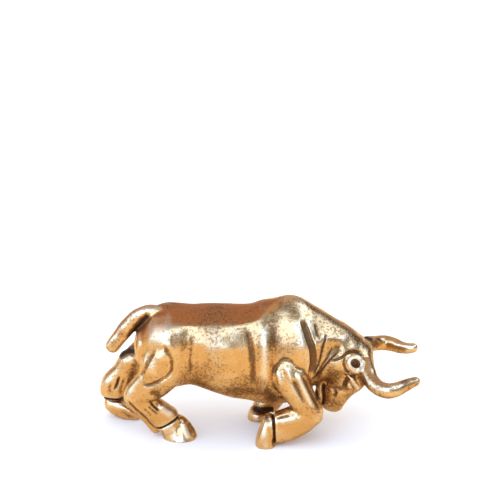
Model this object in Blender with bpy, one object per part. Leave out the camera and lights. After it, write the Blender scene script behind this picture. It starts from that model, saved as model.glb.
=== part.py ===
"""A charging bull cast in one piece of solid brass, as a Blender 4.5 model.

Metres, +Z up. The bull faces +X and stands on the plane z = 0. Its right flank is on the -Y side.
Limbs are lofted through hand-placed stations, fused by a voxel remesh, softened where they join,
and then carved with strokes. Stations and strokes are in hundredths of the bull's length.
"""

import math

import bmesh
import bpy
import numpy as np

# Driving dimensions, in metres.
LENGTH = 0.052

# One station unit is a hundredth of the length.
UNIT = LENGTH / 100.0

# Resolution: the cell that the forms are fused on, in units, and the triangles of the finished casting.
FUSE_CELL = 0.42
TRIANGLES = 9400

# Resolution of a loft: rings between two stations, points round a ring, and rings in a domed end.
RINGS_PER_SPAN = 6
RING_POINTS = 40
DOME_RINGS = 7

# How the casting's joins are softened.
SOFTEN_PASSES = 22
SOFTEN_EVERYWHERE = 0.22

# The share of a stroke's length over which each of its ends runs out.
STROKE_END = 0.1

BRASS_COLOUR = (0.72, 0.45, 0.16, 1.0)
BRASS_ROUGHNESS = 0.32

# A torso station is x, top, bottom, half width, squareness of the top.
TORSO = [
    (-37.4, 35.5, 21.5, 7.6, 2.3),
    (-34.2, 39.8, 17.5, 10.8, 2.6),
    (-30.0, 41.1, 15.6, 12.8, 2.9),
    (-26.0, 41.2, 16.0, 12.4, 2.9),
    (-21.5, 41.1, 16.4, 11.3, 2.9),
    (-14.5, 40.9, 14.1, 13.0, 2.9),
    (-9.0, 41.0, 12.2, 12.8, 2.8),
    (-3.4, 41.6, 10.8, 11.7, 2.6),
    (1.2, 43.2, 10.0, 13.0, 2.3),
    (5.0, 44.4, 9.9, 12.0, 2.1),
    (8.6, 45.6, 10.0, 12.1, 1.9),
    (13.0, 44.5, 12.0, 12.5, 1.8),
    (18.0, 41.3, 17.0, 10.9, 1.8),
    (23.5, 37.6, 19.0, 9.6, 1.8),
    (28.3, 34.4, 19.5, 8.7, 1.9),
    (31.6, 31.4, 20.0, 7.6, 2.1),
]

# A limb station is x, y, z, half width sideways, half width across the limb, fore and aft.
HEAD = [
    (31.2, 0.0, 27.4, 7.4, 4.6),
    (29.5, 0.0, 23.6, 7.6, 6.6),
    (26.8, 0.0, 19.0, 7.0, 6.9),
    (24.5, 0.0, 14.8, 5.8, 5.3),
    (23.2, 0.0, 11.4, 5.1, 4.3),
    (22.5, 0.0, 9.0, 4.4, 3.7),
]
THROAT = [
    (14.0, 0.0, 25.0, 5.6, 4.0),
    (18.4, 0.0, 20.0, 5.2, 3.0),
    (20.0, 0.0, 15.2, 4.4, 2.8),
    (20.1, 0.0, 12.2, 3.8, 3.3),
    (20.8, 0.0, 9.8, 3.2, 2.6),
]
HORN = [
    (31.5, 0.0, 25.0, 3.6, 3.2),
    (32.5, 5.5, 24.7, 3.4, 3.0),
    (33.4, 10.2, 24.0, 2.9, 2.7),
    (34.6, 13.8, 22.9, 2.5, 2.5),
    (36.8, 16.7, 21.9, 2.4, 2.4),
    (39.6, 18.0, 21.4, 2.42, 2.42),
    (42.1, 17.0, 21.3, 2.3, 2.3),
    (44.5, 14.8, 21.4, 2.0, 2.0),
    (46.9, 13.0, 21.7, 1.75, 1.75),
    (48.5, 12.6, 22.1, 1.55, 1.55),
]
TAIL = [
    (-29.5, 0.0, 38.4, 2.2, 2.2),
    (-33.5, 0.0, 39.7, 2.4, 2.9),
    (-37.9, 0.0, 38.5, 2.4, 2.9),
    (-41.3, 0.0, 35.5, 2.35, 2.6),
    (-44.1, 0.0, 31.8, 2.3, 2.4),
    (-46.5, 0.0, 28.4, 2.2, 2.3),
]
RIGHT_FORE_ARM = [
    (6.2, -6.8, 29.5, 4.4, 5.6),
    (8.8, -9.8, 24.0, 4.4, 6.0),
    (11.7, -11.5, 18.2, 3.9, 4.8),
    (14.8, -11.8, 13.0, 3.8, 4.1),
    (16.3, -11.6, 10.7, 3.9, 3.7),
]
RIGHT_FORE_SHANK = [
    (16.5, -11.6, 10.8, 3.9, 3.7),
    (12.6, -11.4, 8.6, 4.0, 4.9),
    (8.2, -11.2, 6.4, 4.2, 5.2),
    (5.1, -11.1, 5.4, 4.1, 5.0),
]
RIGHT_FORE_HOOF = [
    (2.7, -11.1, 9.6, 2.0, 1.1),
    (2.4, -11.1, 7.0, 3.0, 1.9),
    (1.9, -11.1, 3.6, 4.0, 2.7),
    (1.7, -11.1, 0.4, 4.6, 3.2),
    (1.7, -11.1, -2.0, 4.6, 3.2),
]
LEFT_FORE_ARM = [
    (5.0, 8.0, 28.0, 4.4, 5.4),
    (8.6, 9.6, 21.5, 4.2, 5.0),
    (11.6, 9.8, 15.6, 3.8, 4.0),
]
LEFT_FORE_SHANK = [
    (11.8, 9.8, 14.8, 3.8, 3.6),
    (7.8, 9.2, 11.4, 3.6, 3.2),
    (4.4, 8.7, 8.0, 3.4, 3.6),
    (2.1, 8.4, 5.2, 3.3, 4.0),
]
LEFT_FORE_HOOF = [
    (1.0, 8.3, 4.6, 3.3, 2.6),
    (-0.1, 8.2, 2.8, 3.8, 2.9),
    (-0.8, 8.1, 0.4, 4.1, 3.1),
    (-1.0, 8.1, -2.0, 4.1, 3.1),
]
RIGHT_THIGH = [
    (-28.6, -6.6, 31.0, 5.4, 7.2),
    (-30.4, -7.9, 25.2, 5.0, 7.6),
    (-33.8, -8.2, 19.8, 4.4, 5.8),
    (-38.4, -7.9, 15.8, 3.9, 4.3),
]
RIGHT_HIND_SHANK = [
    (-39.6, -7.8, 15.6, 3.8, 3.8),
    (-36.6, -7.4, 12.4, 3.7, 4.3),
    (-32.6, -6.9, 9.2, 3.6, 4.0),
    (-29.4, -6.5, 6.2, 3.8, 4.4),
]
RIGHT_HIND_HOOF = [
    (-27.8, -6.2, 4.8, 2.9, 4.3),
    (-26.4, -6.0, 2.4, 4.1, 4.9),
    (-25.5, -5.9, -0.2, 5.2, 5.4),
    (-25.1, -5.9, -2.4, 6.0, 5.6),
]
RIGHT_HIND_HEEL = [
    (-41.0, -6.6, 12.0, 1.6, 1.6),
    (-37.8, -5.8, 8.2, 1.6, 1.5),
    (-34.6, -5.2, 4.2, 1.7, 1.5),
    (-32.8, -5.0, 2.0, 1.8, 1.6),
]
LEFT_THIGH = [
    (-28.6, 6.6, 31.0, 5.4, 7.2),
    (-33.4, 8.4, 24.6, 5.0, 5.6),
    (-38.0, 9.2, 20.6, 4.2, 4.9),
    (-40.8, 9.3, 18.6, 3.8, 4.1),
]
LEFT_HIND_SHANK = [
    (-41.0, 9.3, 19.2, 3.8, 3.9),
    (-43.2, 9.2, 15.2, 3.5, 3.8),
    (-46.3, 9.2, 11.4, 3.6, 4.0),
    (-47.0, 9.2, 8.4, 3.6, 3.9),
]
LEFT_HIND_HOOF = [
    (-47.8, 9.0, 5.0, 3.3, 2.6),
    (-45.6, 9.0, 3.9, 3.9, 3.2),
    (-42.0, 9.0, 2.2, 4.2, 3.2),
    (-39.2, 8.8, 1.0, 3.8, 2.5),
]
EAR = [
    (28.4, -7.6, 28.4, 1.5, 1.7),
    (29.3, -8.4, 27.4, 1.5, 2.3),
    (30.4, -8.6, 26.3, 1.5, 2.3),
    (31.4, -8.4, 25.2, 1.4, 1.6),
]
EAR_RIM = [
    (32.3, -9.0, 25.7, 0.85, 0.85),
    (31.6, -9.4, 24.2, 0.95, 0.95),
    (29.9, -9.8, 24.7, 0.80, 0.80),
    (28.3, -10.0, 25.9, 0.72, 0.72),
    (27.7, -9.7, 27.4, 0.70, 0.70),
    (28.5, -9.2, 28.5, 0.68, 0.68),
    (29.9, -8.9, 28.6, 0.68, 0.68),
    (31.3, -8.7, 27.4, 0.75, 0.75),
    (32.3, -9.0, 25.7, 0.85, 0.85),
]
BROW = [
    (27.6, -8.2, 22.2, 0.75, 0.75),
    (29.0, -8.3, 19.8, 1.0, 1.0),
    (30.4, -7.0, 17.2, 0.9, 0.9),
]

# Joins that are softened more than the rest: x, y, z of the middle, and the reach.
SOFT_JOINS = [
    (8.0, -10.0, 27.0, 6.0),
    (6.0, 9.0, 27.0, 6.0),
    (-29.0, -9.0, 29.0, 9.0),
    (-29.0, 9.0, 29.0, 9.0),
    (16.5, -11.6, 10.8, 5.0),
    (12.0, 10.0, 15.2, 5.0),
    (-39.0, -7.9, 15.4, 5.5),
    (-41.4, 9.3, 18.8, 5.0),
    (-33.0, 0.0, 37.0, 6.0),
    (34.0, -9.0, 24.4, 4.0),
    (34.0, 9.0, 24.4, 4.0),
    (22.0, 0.0, 33.0, 11.0),
    (16.0, 0.0, 20.0, 8.0),
]

# Where a stroke cuts: how far it reaches in y, and whether it needs a surface that faces sideways.
FLANKS = "both flanks"
RIGHT_FLANK = "right flank"
LEFT_FLANK = "left flank"
RIGHT_RING = "all round the right foot"
LEFT_RING = "all round the left foot"

# A stroke, drawn on the side view: place, half width, depth (a raised one is negative), and its x, z.
STROKES = {
    "neck_gouge": (
        FLANKS, 1.15, 1.0,
        [(12.6, 42.0), (14.7, 37.7), (16.3, 34.2), (16.7, 29.8), (16.3, 26.2), (15.1, 20.3)],
    ),
    "neck_nick": (FLANKS, 0.75, 0.5, [(17.4, 39.8), (18.3, 33.7)]),
    "neck_fold_a": (
        FLANKS, 0.6, 0.65,
        [(20.7, 36.8), (20.0, 33.7), (18.7, 29.0), (17.8, 25.4), (15.3, 19.8)],
    ),
    "neck_fold_b": (FLANKS, 0.6, 0.5, [(23.1, 33.2), (22.0, 30.7), (20.0, 27.6), (17.6, 24.0)]),
    "neck_fold_c": (
        FLANKS, 0.7, 0.8,
        [(25.2, 31.1), (22.3, 28.6), (20.0, 25.0), (18.0, 22.0), (16.7, 20.6)],
    ),
    "cheek_line": (
        FLANKS, 0.7, 0.8,
        [(20.2, 25.6), (22.0, 27.1), (24.7, 27.8), (26.5, 29.2), (28.4, 30.6)],
    ),
    "rib_line": (
        FLANKS, 1.0, 0.7,
        [(-4.1, 39.4), (-3.4, 35.0), (-2.8, 29.3), (-2.4, 23.6), (-2.0, 18.8)],
    ),
    "blade_ridge": (
        FLANKS, 3.0, -0.7,
        [(0.4, 39.5), (1.6, 36.4), (1.6, 30.3), (1.3, 23.6), (2.0, 17.0)],
    ),
    "shoulder_swell": (FLANKS, 6.5, -0.6, [(12.8, 39.9), (13.8, 35.0)]),
    "curtain_edge": (
        FLANKS, 3.0, -0.5,
        [(15.8, 31.6), (18.4, 35.2), (20.8, 35.8), (23.0, 35.6), (28.4, 34.0)],
    ),
    "neck_tuck": (FLANKS, 4.0, 0.7, [(16.6, 25.6), (19.4, 29.4), (22.6, 30.9), (26.6, 31.2)]),
    "flank_line": (FLANKS, 1.2, 0.5, [(-20.5, 39.4), (-21.3, 32.8), (-21.8, 27.1), (-22.0, 21.2)]),
    "thigh_fore": (
        FLANKS, 0.9, 0.8,
        [(-30.1, 33.2), (-28.7, 31.6), (-27.7, 28.6), (-27.6, 26.6), (-28.3, 24.1), (-30.3, 22.1)]
        + [(-33.0, 20.3), (-36.1, 19.9)],
    ),
    "thigh_aft": (
        FLANKS, 0.8, 0.5,
        [(-33.9, 30.0), (-34.6, 28.1), (-36.1, 26.7), (-36.6, 23.7), (-37.0, 22.1)],
    ),
    "thigh_leaf": (FLANKS, 3.4, -0.7, [(-31.6, 28.8), (-33.2, 24.8)]),
    "right_arm_arc": (
        RIGHT_FLANK, 0.8, 0.6,
        [(3.9, 26.5), (5.5, 27.9), (7.7, 29.5), (9.5, 28.9), (11.1, 26.7), (14.2, 24.1), (16.0, 21.5)],
    ),
    "right_arm_valley": (
        RIGHT_FLANK, 1.2, 0.4,
        [(3.8, 26.5), (4.5, 22.6), (6.3, 20.2), (8.2, 17.8), (9.4, 15.8)],
    ),
    "right_elbow_a": (RIGHT_FLANK, 1.4, -0.5, [(5.3, 26.8), (6.0, 24.0), (6.9, 20.2)]),
    "right_elbow_b": (RIGHT_FLANK, 1.6, -0.7, [(7.7, 28.5), (8.9, 25.9), (10.3, 21.9)]),
    "right_arm_c": (RIGHT_FLANK, 0.9, 0.7, [(11.4, 22.8), (12.7, 19.8), (14.2, 17.7), (15.4, 14.1)]),
    "right_arm_bone": (RIGHT_FLANK, 1.0, -0.4, [(11.9, 26.0), (14.4, 20.4), (17.0, 14.0)]),
    "left_elbow_a": (LEFT_FLANK, 1.4, -0.5, [(3.3, 25.0), (4.0, 22.2), (4.9, 18.4)]),
    "left_elbow_b": (LEFT_FLANK, 1.6, -0.7, [(5.7, 26.7), (6.9, 24.1), (8.3, 20.1)]),
    "left_arm_c": (LEFT_FLANK, 0.9, 0.7, [(8.0, 24.0), (9.6, 20.6), (11.2, 17.0)]),
    "left_arm_arc": (
        LEFT_FLANK, 0.8, 0.6,
        [(1.4, 25.0), (3.4, 27.4), (6.0, 28.6), (9.0, 27.2), (11.6, 23.6)],
    ),
    "right_fore_ring": (RIGHT_RING, 0.65, 0.8, [(3.3, 12.6), (4.1, 8.7), (4.3, 4.7), (4.3, 0.2)]),
    "left_fore_ring": (LEFT_RING, 0.6, 0.7, [(-4.4, 5.0), (-0.5, 4.2), (4.0, 2.4)]),
    "right_hind_ring": (
        RIGHT_RING, 0.65, 0.8,
        [(-33.6, 3.9), (-31.3, 4.4), (-27.1, 6.9), (-24.0, 8.7)],
    ),
    "left_hind_ring": (LEFT_RING, 0.65, 0.6, [(-50.6, 7.0), (-46.0, 6.7), (-42.9, 6.2), (-41.0, 4.3)]),
    "fore_tendon": (RIGHT_FLANK, 0.6, 0.45, [(5.3, 9.0), (9.1, 10.0)]),
    "right_hind_bone": (RIGHT_FLANK, 2.1, -0.6, [(-32.6, 11.7), (-29.6, 8.8), (-26.8, 7.7)]),
    "fore_shank_bone": (RIGHT_FLANK, 2.2, -0.5, [(5.4, 8.2), (8.4, 9.1), (12.4, 10.0)]),
    "right_hind_tendon": (RIGHT_FLANK, 0.8, 0.5, [(-34.5, 12.6), (-31.7, 9.9)]),
    "left_hind_tendon": (LEFT_FLANK, 0.8, 0.5, [(-43.6, 16.8), (-45.4, 12.4)]),
    "cheek_crease": (
        FLANKS, 0.7, 0.8,
        [(19.6, 18.4), (20.8, 17.8), (23.3, 16.8), (25.5, 16.4), (28.4, 15.6)],
    ),
    "cheek": (FLANKS, 4.0, -0.5, [(23.8, 25.1), (25.0, 25.3)]),
    "eye_socket": (FLANKS, 0.9, 0.9, [(26.8, 19.8), (28.2, 17.4)]),
    "nostril": (FLANKS, 0.7, 0.5, [(23.2, 15.0), (23.6, 14.2)]),
    "ear_cup": (FLANKS, 1.2, 1.0, [(29.5, 27.2), (30.0, 26.6)]),
}


def unit_rows(rows):
    """Each row of an array scaled to length one."""
    return rows / np.linalg.norm(rows, axis=1, keepdims=True)


def smooth_stations(stations, rings_per_span):
    """Stations with more of them worked out on a Catmull-Rom curve through the given ones."""
    given = np.array(stations, float)
    padded = np.vstack([2 * given[0] - given[1], given, 2 * given[-1] - given[-2]])
    rows = []
    for span in range(len(given) - 1):
        before, start, end, after = padded[span : span + 4]
        steps = np.linspace(0, 1, rings_per_span, endpoint=span == len(given) - 2)[:, None]
        rows.append(
            0.5
            * (
                2 * start
                + (end - before) * steps
                + (2 * before - 5 * start + 4 * end - after) * steps**2
                + (3 * start - before - 3 * end + after) * steps**3
            )
        )
    return np.vstack(rows)


def squared_circle(squareness, flat_below):
    """A ring of points on a superellipse: squarer above the middle, and nearly round below it."""
    angles = np.linspace(0, 2 * math.pi, RING_POINTS, endpoint=False)
    cosine, sine = np.cos(angles), np.sin(angles)
    power = 2.0 / np.where(sine > 0, squareness, flat_below)
    return np.sign(cosine) * np.abs(cosine) ** power, np.sign(sine) * np.abs(sine) ** power


def loft(centres, side_widths, across_widths, squareness, dome, reference=(0, 1, 0), flat_below=2.2):
    """A closed skin through rings square to a path, with a domed end at each side.

    dome is how far each end bulges, as a share of the end's half width across.
    """
    tangents = unit_rows(np.gradient(centres, axis=0))
    sideways = np.array(reference, float) - tangents * (tangents @ np.array(reference, float))[:, None]
    sideways = unit_rows(sideways)
    across = np.cross(tangents, sideways)

    tilt = np.linspace(0, math.pi / 2, DOME_RINGS + 1)[1:]
    tilt[-1] = math.radians(86)
    head = [(0, -math.sin(a) * dome * across_widths[0] * tangents[0], math.cos(a)) for a in tilt[::-1]]
    body = [(i, np.zeros(3), 1.0) for i in range(len(centres))]
    tail = [(-1, math.sin(a) * dome * across_widths[-1] * tangents[-1], math.cos(a)) for a in tilt]

    rings = []
    for index, shift, scale in head + body + tail:
        wide, tall = squared_circle(squareness[index], flat_below)
        rings.append(
            centres[index]
            + shift
            + scale * side_widths[index] * wide[:, None] * sideways[index]
            + scale * across_widths[index] * tall[:, None] * across[index]
        )

    skin = bmesh.new()
    rows = [[skin.verts.new(point) for point in ring * UNIT] for ring in rings]
    for lower, upper in zip(rows, rows[1:]):
        for i in range(RING_POINTS):
            j = (i + 1) % RING_POINTS
            skin.faces.new((lower[i], lower[j], upper[j], upper[i]))
    skin.faces.new(rows[0][::-1])
    skin.faces.new(rows[-1])
    bmesh.ops.recalc_face_normals(skin, faces=skin.faces)
    return skin


def torso_skin():
    """The barrel, hump and neck in one loft with upright rings."""
    rows = smooth_stations(TORSO, RINGS_PER_SPAN)
    x, top, bottom, width, squareness = rows.T
    centres = np.column_stack([x, np.zeros_like(x), (top + bottom) / 2])
    level = centres.copy()
    level[:, 2] = centres[:, 2].mean()
    skin = loft(level, width, (top - bottom) / 2, squareness, dome=0.32)
    rise = np.interp
    for vertex in skin.verts:
        at = vertex.co.x / UNIT
        vertex.co.z += (rise(at, x, centres[:, 2]) - level[0, 2]) * UNIT
    return skin


def limb_skin(stations, dome=0.8, squareness=2.2, reference=(0, 1, 0)):
    """A leg, horn, head, tail or ear."""
    rows = smooth_stations(stations, RINGS_PER_SPAN)
    squarenesses = np.full(len(rows), squareness)
    return loft(rows[:, :3], rows[:, 3], rows[:, 4], squarenesses, dome, reference, flat_below=squareness)


def mirrored(stations):
    """The same stations on the other side of the bull."""
    return [(x, -y, *rest) for x, y, *rest in stations]


def all_skins():
    """Every form of the casting, each a closed skin that runs into its neighbours."""
    upright = (0, 0, 1)
    return [
        torso_skin(),
        limb_skin(HEAD, dome=0.7, squareness=2.5),
        limb_skin(THROAT, dome=0.6),
        limb_skin(HORN, dome=1.0, reference=upright),
        limb_skin(mirrored(HORN), dome=1.0, reference=upright),
        limb_skin(TAIL, dome=0.9),
        limb_skin(RIGHT_FORE_ARM),
        limb_skin(RIGHT_FORE_SHANK, squareness=2.5),
        limb_skin(RIGHT_FORE_HOOF, dome=0.3, squareness=2.4),
        limb_skin(LEFT_FORE_ARM),
        limb_skin(LEFT_FORE_SHANK, squareness=2.3),
        limb_skin(LEFT_FORE_HOOF, dome=0.3, squareness=2.4),
        limb_skin(RIGHT_THIGH),
        limb_skin(RIGHT_HIND_SHANK, squareness=2.5),
        limb_skin(RIGHT_HIND_HOOF, dome=0.3, squareness=2.05),
        limb_skin(RIGHT_HIND_HEEL),
        limb_skin(LEFT_THIGH),
        limb_skin(LEFT_HIND_SHANK, squareness=2.5),
        limb_skin(LEFT_HIND_HOOF, dome=0.6, squareness=2.4),
        limb_skin(EAR),
        limb_skin(mirrored(EAR)),
        limb_skin(EAR_RIM, dome=0.5, squareness=2.0, reference=(0, 0.92, 0.39)),
        limb_skin(mirrored(EAR_RIM), dome=0.5, squareness=2.0, reference=(0, -0.92, 0.39)),
        limb_skin(BROW),
        limb_skin(mirrored(BROW)),
    ]


def joined_object(name, skins):
    """One object that holds all the skins, still overlapping."""
    whole = bmesh.new()
    for skin in skins:
        piece = bpy.data.meshes.new("piece")
        skin.to_mesh(piece)
        whole.from_mesh(piece)
        skin.free()
        bpy.data.meshes.remove(piece)
    mesh = bpy.data.meshes.new(name)
    whole.to_mesh(mesh)
    whole.free()
    obj = bpy.data.objects.new(name, mesh)
    bpy.context.scene.collection.objects.link(obj)
    return obj


def apply_modifiers(obj):
    """The object's mesh becomes what its modifiers make of it."""
    graph = bpy.context.evaluated_depsgraph_get()
    made = bpy.data.meshes.new_from_object(obj.evaluated_get(graph))
    obj.modifiers.clear()
    old = obj.data
    obj.data = made
    bpy.data.meshes.remove(old)


def mesh_points(mesh):
    """The vertices as rows of x, y, z in station units."""
    flat = np.empty(len(mesh.vertices) * 3, np.float32)
    mesh.vertices.foreach_get("co", flat)
    return flat.reshape(-1, 3).astype(float) / UNIT


def mesh_normals(mesh):
    """The vertex normals as rows."""
    flat = np.empty(len(mesh.vertices) * 3, np.float32)
    mesh.vertex_normals.foreach_get("vector", flat)
    return flat.reshape(-1, 3).astype(float)


def set_points(mesh, points):
    """Puts rows of station units back into the mesh."""
    mesh.vertices.foreach_set("co", (points * UNIT).astype(np.float32).ravel())
    mesh.update()


def fuse(obj):
    """The overlapping skins become one closed surface."""
    remesh = obj.modifiers.new("fuse", "REMESH")
    remesh.mode = "VOXEL"
    remesh.voxel_size = FUSE_CELL * UNIT
    apply_modifiers(obj)


def soften(obj):
    """Rounds the joins, most of all near SOFT_JOINS."""
    points = mesh_points(obj.data)
    weight = np.full(len(points), SOFTEN_EVERYWHERE)
    for x, y, z, reach in SOFT_JOINS:
        away = np.linalg.norm(points - (x, y, z), axis=1) / reach
        weight = np.maximum(weight, np.clip(1.4 * (1 - away), 0, 1))
    group = obj.vertex_groups.new(name="joins")
    for level in np.unique(np.round(weight, 2)):
        chosen = np.flatnonzero(np.round(weight, 2) == level)
        group.add(chosen.tolist(), float(level), "REPLACE")
    smooth = obj.modifiers.new("soften", "SMOOTH")
    smooth.vertex_group = group.name
    smooth.factor = 0.5
    smooth.iterations = SOFTEN_PASSES
    apply_modifiers(obj)


def distance_to_route(x, z, route):
    """How far each x, z lies from a line through the route's points, and how far along it is, 0 to 1."""
    route = np.array(route, float)
    nearest = np.full(len(x), np.inf)
    along = np.zeros(len(x))
    lengths = np.linalg.norm(np.diff(route, axis=0), axis=1)
    starts = np.concatenate([[0], np.cumsum(lengths)])
    for start, end, length, done in zip(route, route[1:], lengths, starts):
        step = (end - start) / length
        travel = np.clip((x - start[0]) * step[0] + (z - start[1]) * step[1], 0, length)
        away = np.hypot(x - start[0] - travel * step[0], z - start[1] - travel * step[1])
        closer = away < nearest
        nearest = np.where(closer, away, nearest)
        along = np.where(closer, (done + travel) / starts[-1], along)
    return nearest, along


def fade(value):
    """A smooth step from 0 to 1."""
    value = np.clip(value, 0, 1)
    return value * value * (3 - 2 * value)


def reach_of(place, points, normals):
    """How much of a stroke's depth each vertex takes, from 0 to 1, by its side and the way it faces."""
    if place in (RIGHT_RING, LEFT_RING):
        side = -1 if place == RIGHT_RING else 1
        return (points[:, 1] * side > 1.0).astype(float)
    side = {FLANKS: np.sign(points[:, 1]), RIGHT_FLANK: -1, LEFT_FLANK: 1}[place]
    return fade(normals[:, 1] * side / 0.5) * (points[:, 1] * side > 2.0)


def carve(obj):
    """Cuts or raises every stroke, along the surface's normals."""
    mesh = obj.data
    points, normals = mesh_points(mesh), mesh_normals(mesh)
    cut, lift = np.zeros(len(points)), np.zeros(len(points))
    for place, half_width, depth, route in STROKES.values():
        away, along = distance_to_route(points[:, 0], points[:, 2], route)
        ends = fade(along / STROKE_END) * fade((1 - along) / STROKE_END) if len(route) > 2 else 1.0
        profile = abs(depth) * fade(1 - away / half_width) * ends * reach_of(place, points, normals)
        if depth > 0:
            cut = np.maximum(cut, profile)
        else:
            lift = np.maximum(lift, profile)
    set_points(mesh, points + normals * (lift - cut)[:, None])


def lighten(obj):
    """Fewer triangles, most of them where the form bends."""
    mesh = obj.data
    mesh.calc_loop_triangles()
    decimate = obj.modifiers.new("lighten", "DECIMATE")
    decimate.ratio = TRIANGLES / len(mesh.loop_triangles)
    decimate.use_collapse_triangulate = True
    apply_modifiers(obj)


def grind_soles(obj):
    """Cuts the four soles flat on the ground plane."""
    solid = bmesh.new()
    solid.from_mesh(obj.data)
    cut = bmesh.ops.bisect_plane(
        solid,
        geom=solid.verts[:] + solid.edges[:] + solid.faces[:],
        plane_co=(0, 0, 0),
        plane_no=(0, 0, -1),
        clear_outer=True,
    )
    rim = [item for item in cut["geom_cut"] if isinstance(item, bmesh.types.BMEdge)]
    bmesh.ops.holes_fill(solid, edges=rim)
    bmesh.ops.recalc_face_normals(solid, faces=solid.faces)
    bmesh.ops.triangulate(solid, faces=solid.faces)
    solid.to_mesh(obj.data)
    solid.free()


def stand_on_origin(obj):
    """Puts the origin under the middle of the bull's box."""
    points = mesh_points(obj.data)
    low, high = points.min(axis=0), points.max(axis=0)
    middle = (low + high) / 2
    set_points(obj.data, points - (middle[0], middle[1], low[2]))


def brass():
    """Polished brass."""
    material = bpy.data.materials.new("brass")
    material.use_nodes = True
    shader = material.node_tree.nodes["Principled BSDF"]
    shader.inputs["Base Color"].default_value = BRASS_COLOUR
    shader.inputs["Metallic"].default_value = 1.0
    shader.inputs["Roughness"].default_value = BRASS_ROUGHNESS
    return material


def main():
    for obj in list(bpy.data.objects):
        bpy.data.objects.remove(obj)
    bull = joined_object("bull", all_skins())
    fuse(bull)
    soften(bull)
    carve(bull)
    lighten(bull)
    grind_soles(bull)
    stand_on_origin(bull)
    bull.data.materials.append(brass())
    bull.data.shade_smooth()


main()
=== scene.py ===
"""A small charging bull, cast in one piece of solid brass: the casting, its finish, and the studio.

Metres, +Z up. The bull faces +X and stands on the plane z = 0, with its right flank on the -Y side.
Each form is a loft through listed stations. The forms are fused into one skin, softened where
they join, and carved with strokes. Stations and strokes are in units, a hundredth of the bull's length.

Strokes are drawn on a plate that stands beside the flank and leans back, so that whoever looks at the
bull from a little above sees it square on. A place on the plate is (u, w): u is the station's x, and w
is how high up the plate the point falls.
"""

from __future__ import annotations

import logging
import math
from dataclasses import dataclass, field, fields, replace
from enum import Enum

import bmesh
import bpy
import numpy as np
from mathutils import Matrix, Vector

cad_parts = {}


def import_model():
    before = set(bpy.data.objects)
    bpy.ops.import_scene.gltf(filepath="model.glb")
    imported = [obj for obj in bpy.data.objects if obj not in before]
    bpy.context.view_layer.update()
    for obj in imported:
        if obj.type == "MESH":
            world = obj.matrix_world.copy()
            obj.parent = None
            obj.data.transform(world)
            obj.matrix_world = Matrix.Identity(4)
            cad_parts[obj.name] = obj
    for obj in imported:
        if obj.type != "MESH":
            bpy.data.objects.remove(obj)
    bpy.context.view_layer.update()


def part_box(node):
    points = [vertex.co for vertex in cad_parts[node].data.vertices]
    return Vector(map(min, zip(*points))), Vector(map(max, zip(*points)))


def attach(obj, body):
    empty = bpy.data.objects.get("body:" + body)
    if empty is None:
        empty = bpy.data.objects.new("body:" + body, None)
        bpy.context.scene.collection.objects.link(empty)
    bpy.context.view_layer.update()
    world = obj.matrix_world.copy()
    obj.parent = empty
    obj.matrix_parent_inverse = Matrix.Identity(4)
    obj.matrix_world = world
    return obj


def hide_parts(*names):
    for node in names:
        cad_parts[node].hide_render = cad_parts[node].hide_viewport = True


LOG = logging.getLogger("bull")

Pair = tuple[float, float]
Triple = tuple[float, float, float]
Colour = tuple[float, float, float]
Station = tuple[float, float, float, float, float]
Join = tuple[float, float, float, float]
Route = tuple[Pair, ...]
Object = bpy.types.Object
Mesh = bpy.types.Mesh
Socket = bpy.types.NodeSocket

# The bull's length in metres, and one station unit.
LENGTH = 0.052
UNIT = LENGTH / 100.0

# How far back the carving plate leans, which is the elevation that the photograph was taken from.
PLATE_LEAN = math.radians(25.0)


class Place(Enum):
    """The part of the casting that a stroke cuts."""

    BOTH = "both flanks"
    RIGHT = "right flank"
    LEFT = "left flank"
    LEFT_SEEN_ACROSS = "the left side, seen across from the right"
    ROUND_RIGHT_FOOT = "all round a right foot"
    ROUND_LEFT_FOOT = "all round a left foot"


class Profile(Enum):
    """The shape of a stroke across its width."""

    ROUND = "round bottomed"
    FLAT = "flat bottomed"
    SHARP = "v shaped"


@dataclass(frozen=True)
class Stroke:
    """One stroke of the carving.

    Args:
        place: Where it cuts.
        half_width: Half its width, in units.
        depth: How deep it goes, in units. A raised stroke has a negative depth.
        route: Its points on the plate.
        dark: How dark it is painted: brown from a half, and black from 1. In a cut it is patina, and in a
            shade it is painted shade.
        profile: Its shape across.
        ends: The share of its length over which each end runs out.
        rub_and_highlight: How bright it is painted, from 0 to 1: a painted highlight of lighter, less
            metallic brass, partly real rubbing that thins the patina.
    """

    place: Place
    half_width: float
    depth: float
    route: Route
    dark: float = 0.0
    profile: Profile = Profile.ROUND
    ends: float = 0.12
    rub_and_highlight: float = 0.0

    @property
    def upright(self) -> bool:
        """Whether the stroke is drawn on an upright plate, as the rings round the feet are."""
        return self.place in (Place.ROUND_RIGHT_FOOT, Place.ROUND_LEFT_FOOT)

    def moved(self, place: Place, by: Pair) -> Stroke:
        """The same stroke elsewhere.

        Args:
            place: Where the new stroke cuts.
            by: How far it moves on the plate.

        Returns:
            The new stroke.
        """
        route = tuple((u + by[0], w + by[1]) for u, w in self.route)
        return replace(self, place=place, route=route)


@dataclass(frozen=True)
class Facet:
    """A plane that is filed on to a swelling form.

    Args:
        centre: Its middle, as x, y, z in units.
        facing: The direction that it faces.
        reach: How far from the middle it may cut, in units.
        depth: How much it takes off the highest point, in units.
    """

    centre: Triple
    facing: Triple
    reach: float
    depth: float


def ring_route(middle: Pair, radii: Pair, count: int = 16) -> Route:
    """A closed route round an ellipse.

    Args:
        middle: Its middle on the plate.
        radii: Its half widths along u and w.
        count: How many steps it takes.

    Returns:
        The route, which ends where it starts.
    """
    turns = [2.0 * math.pi * step / count for step in range(count + 1)]
    return tuple((middle[0] + radii[0] * math.cos(a), middle[1] + radii[1] * math.sin(a)) for a in turns)


def unit_rows(rows: np.ndarray) -> np.ndarray:
    """Each row of an array scaled to length one."""
    return rows / np.linalg.norm(rows, axis=1, keepdims=True)


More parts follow.
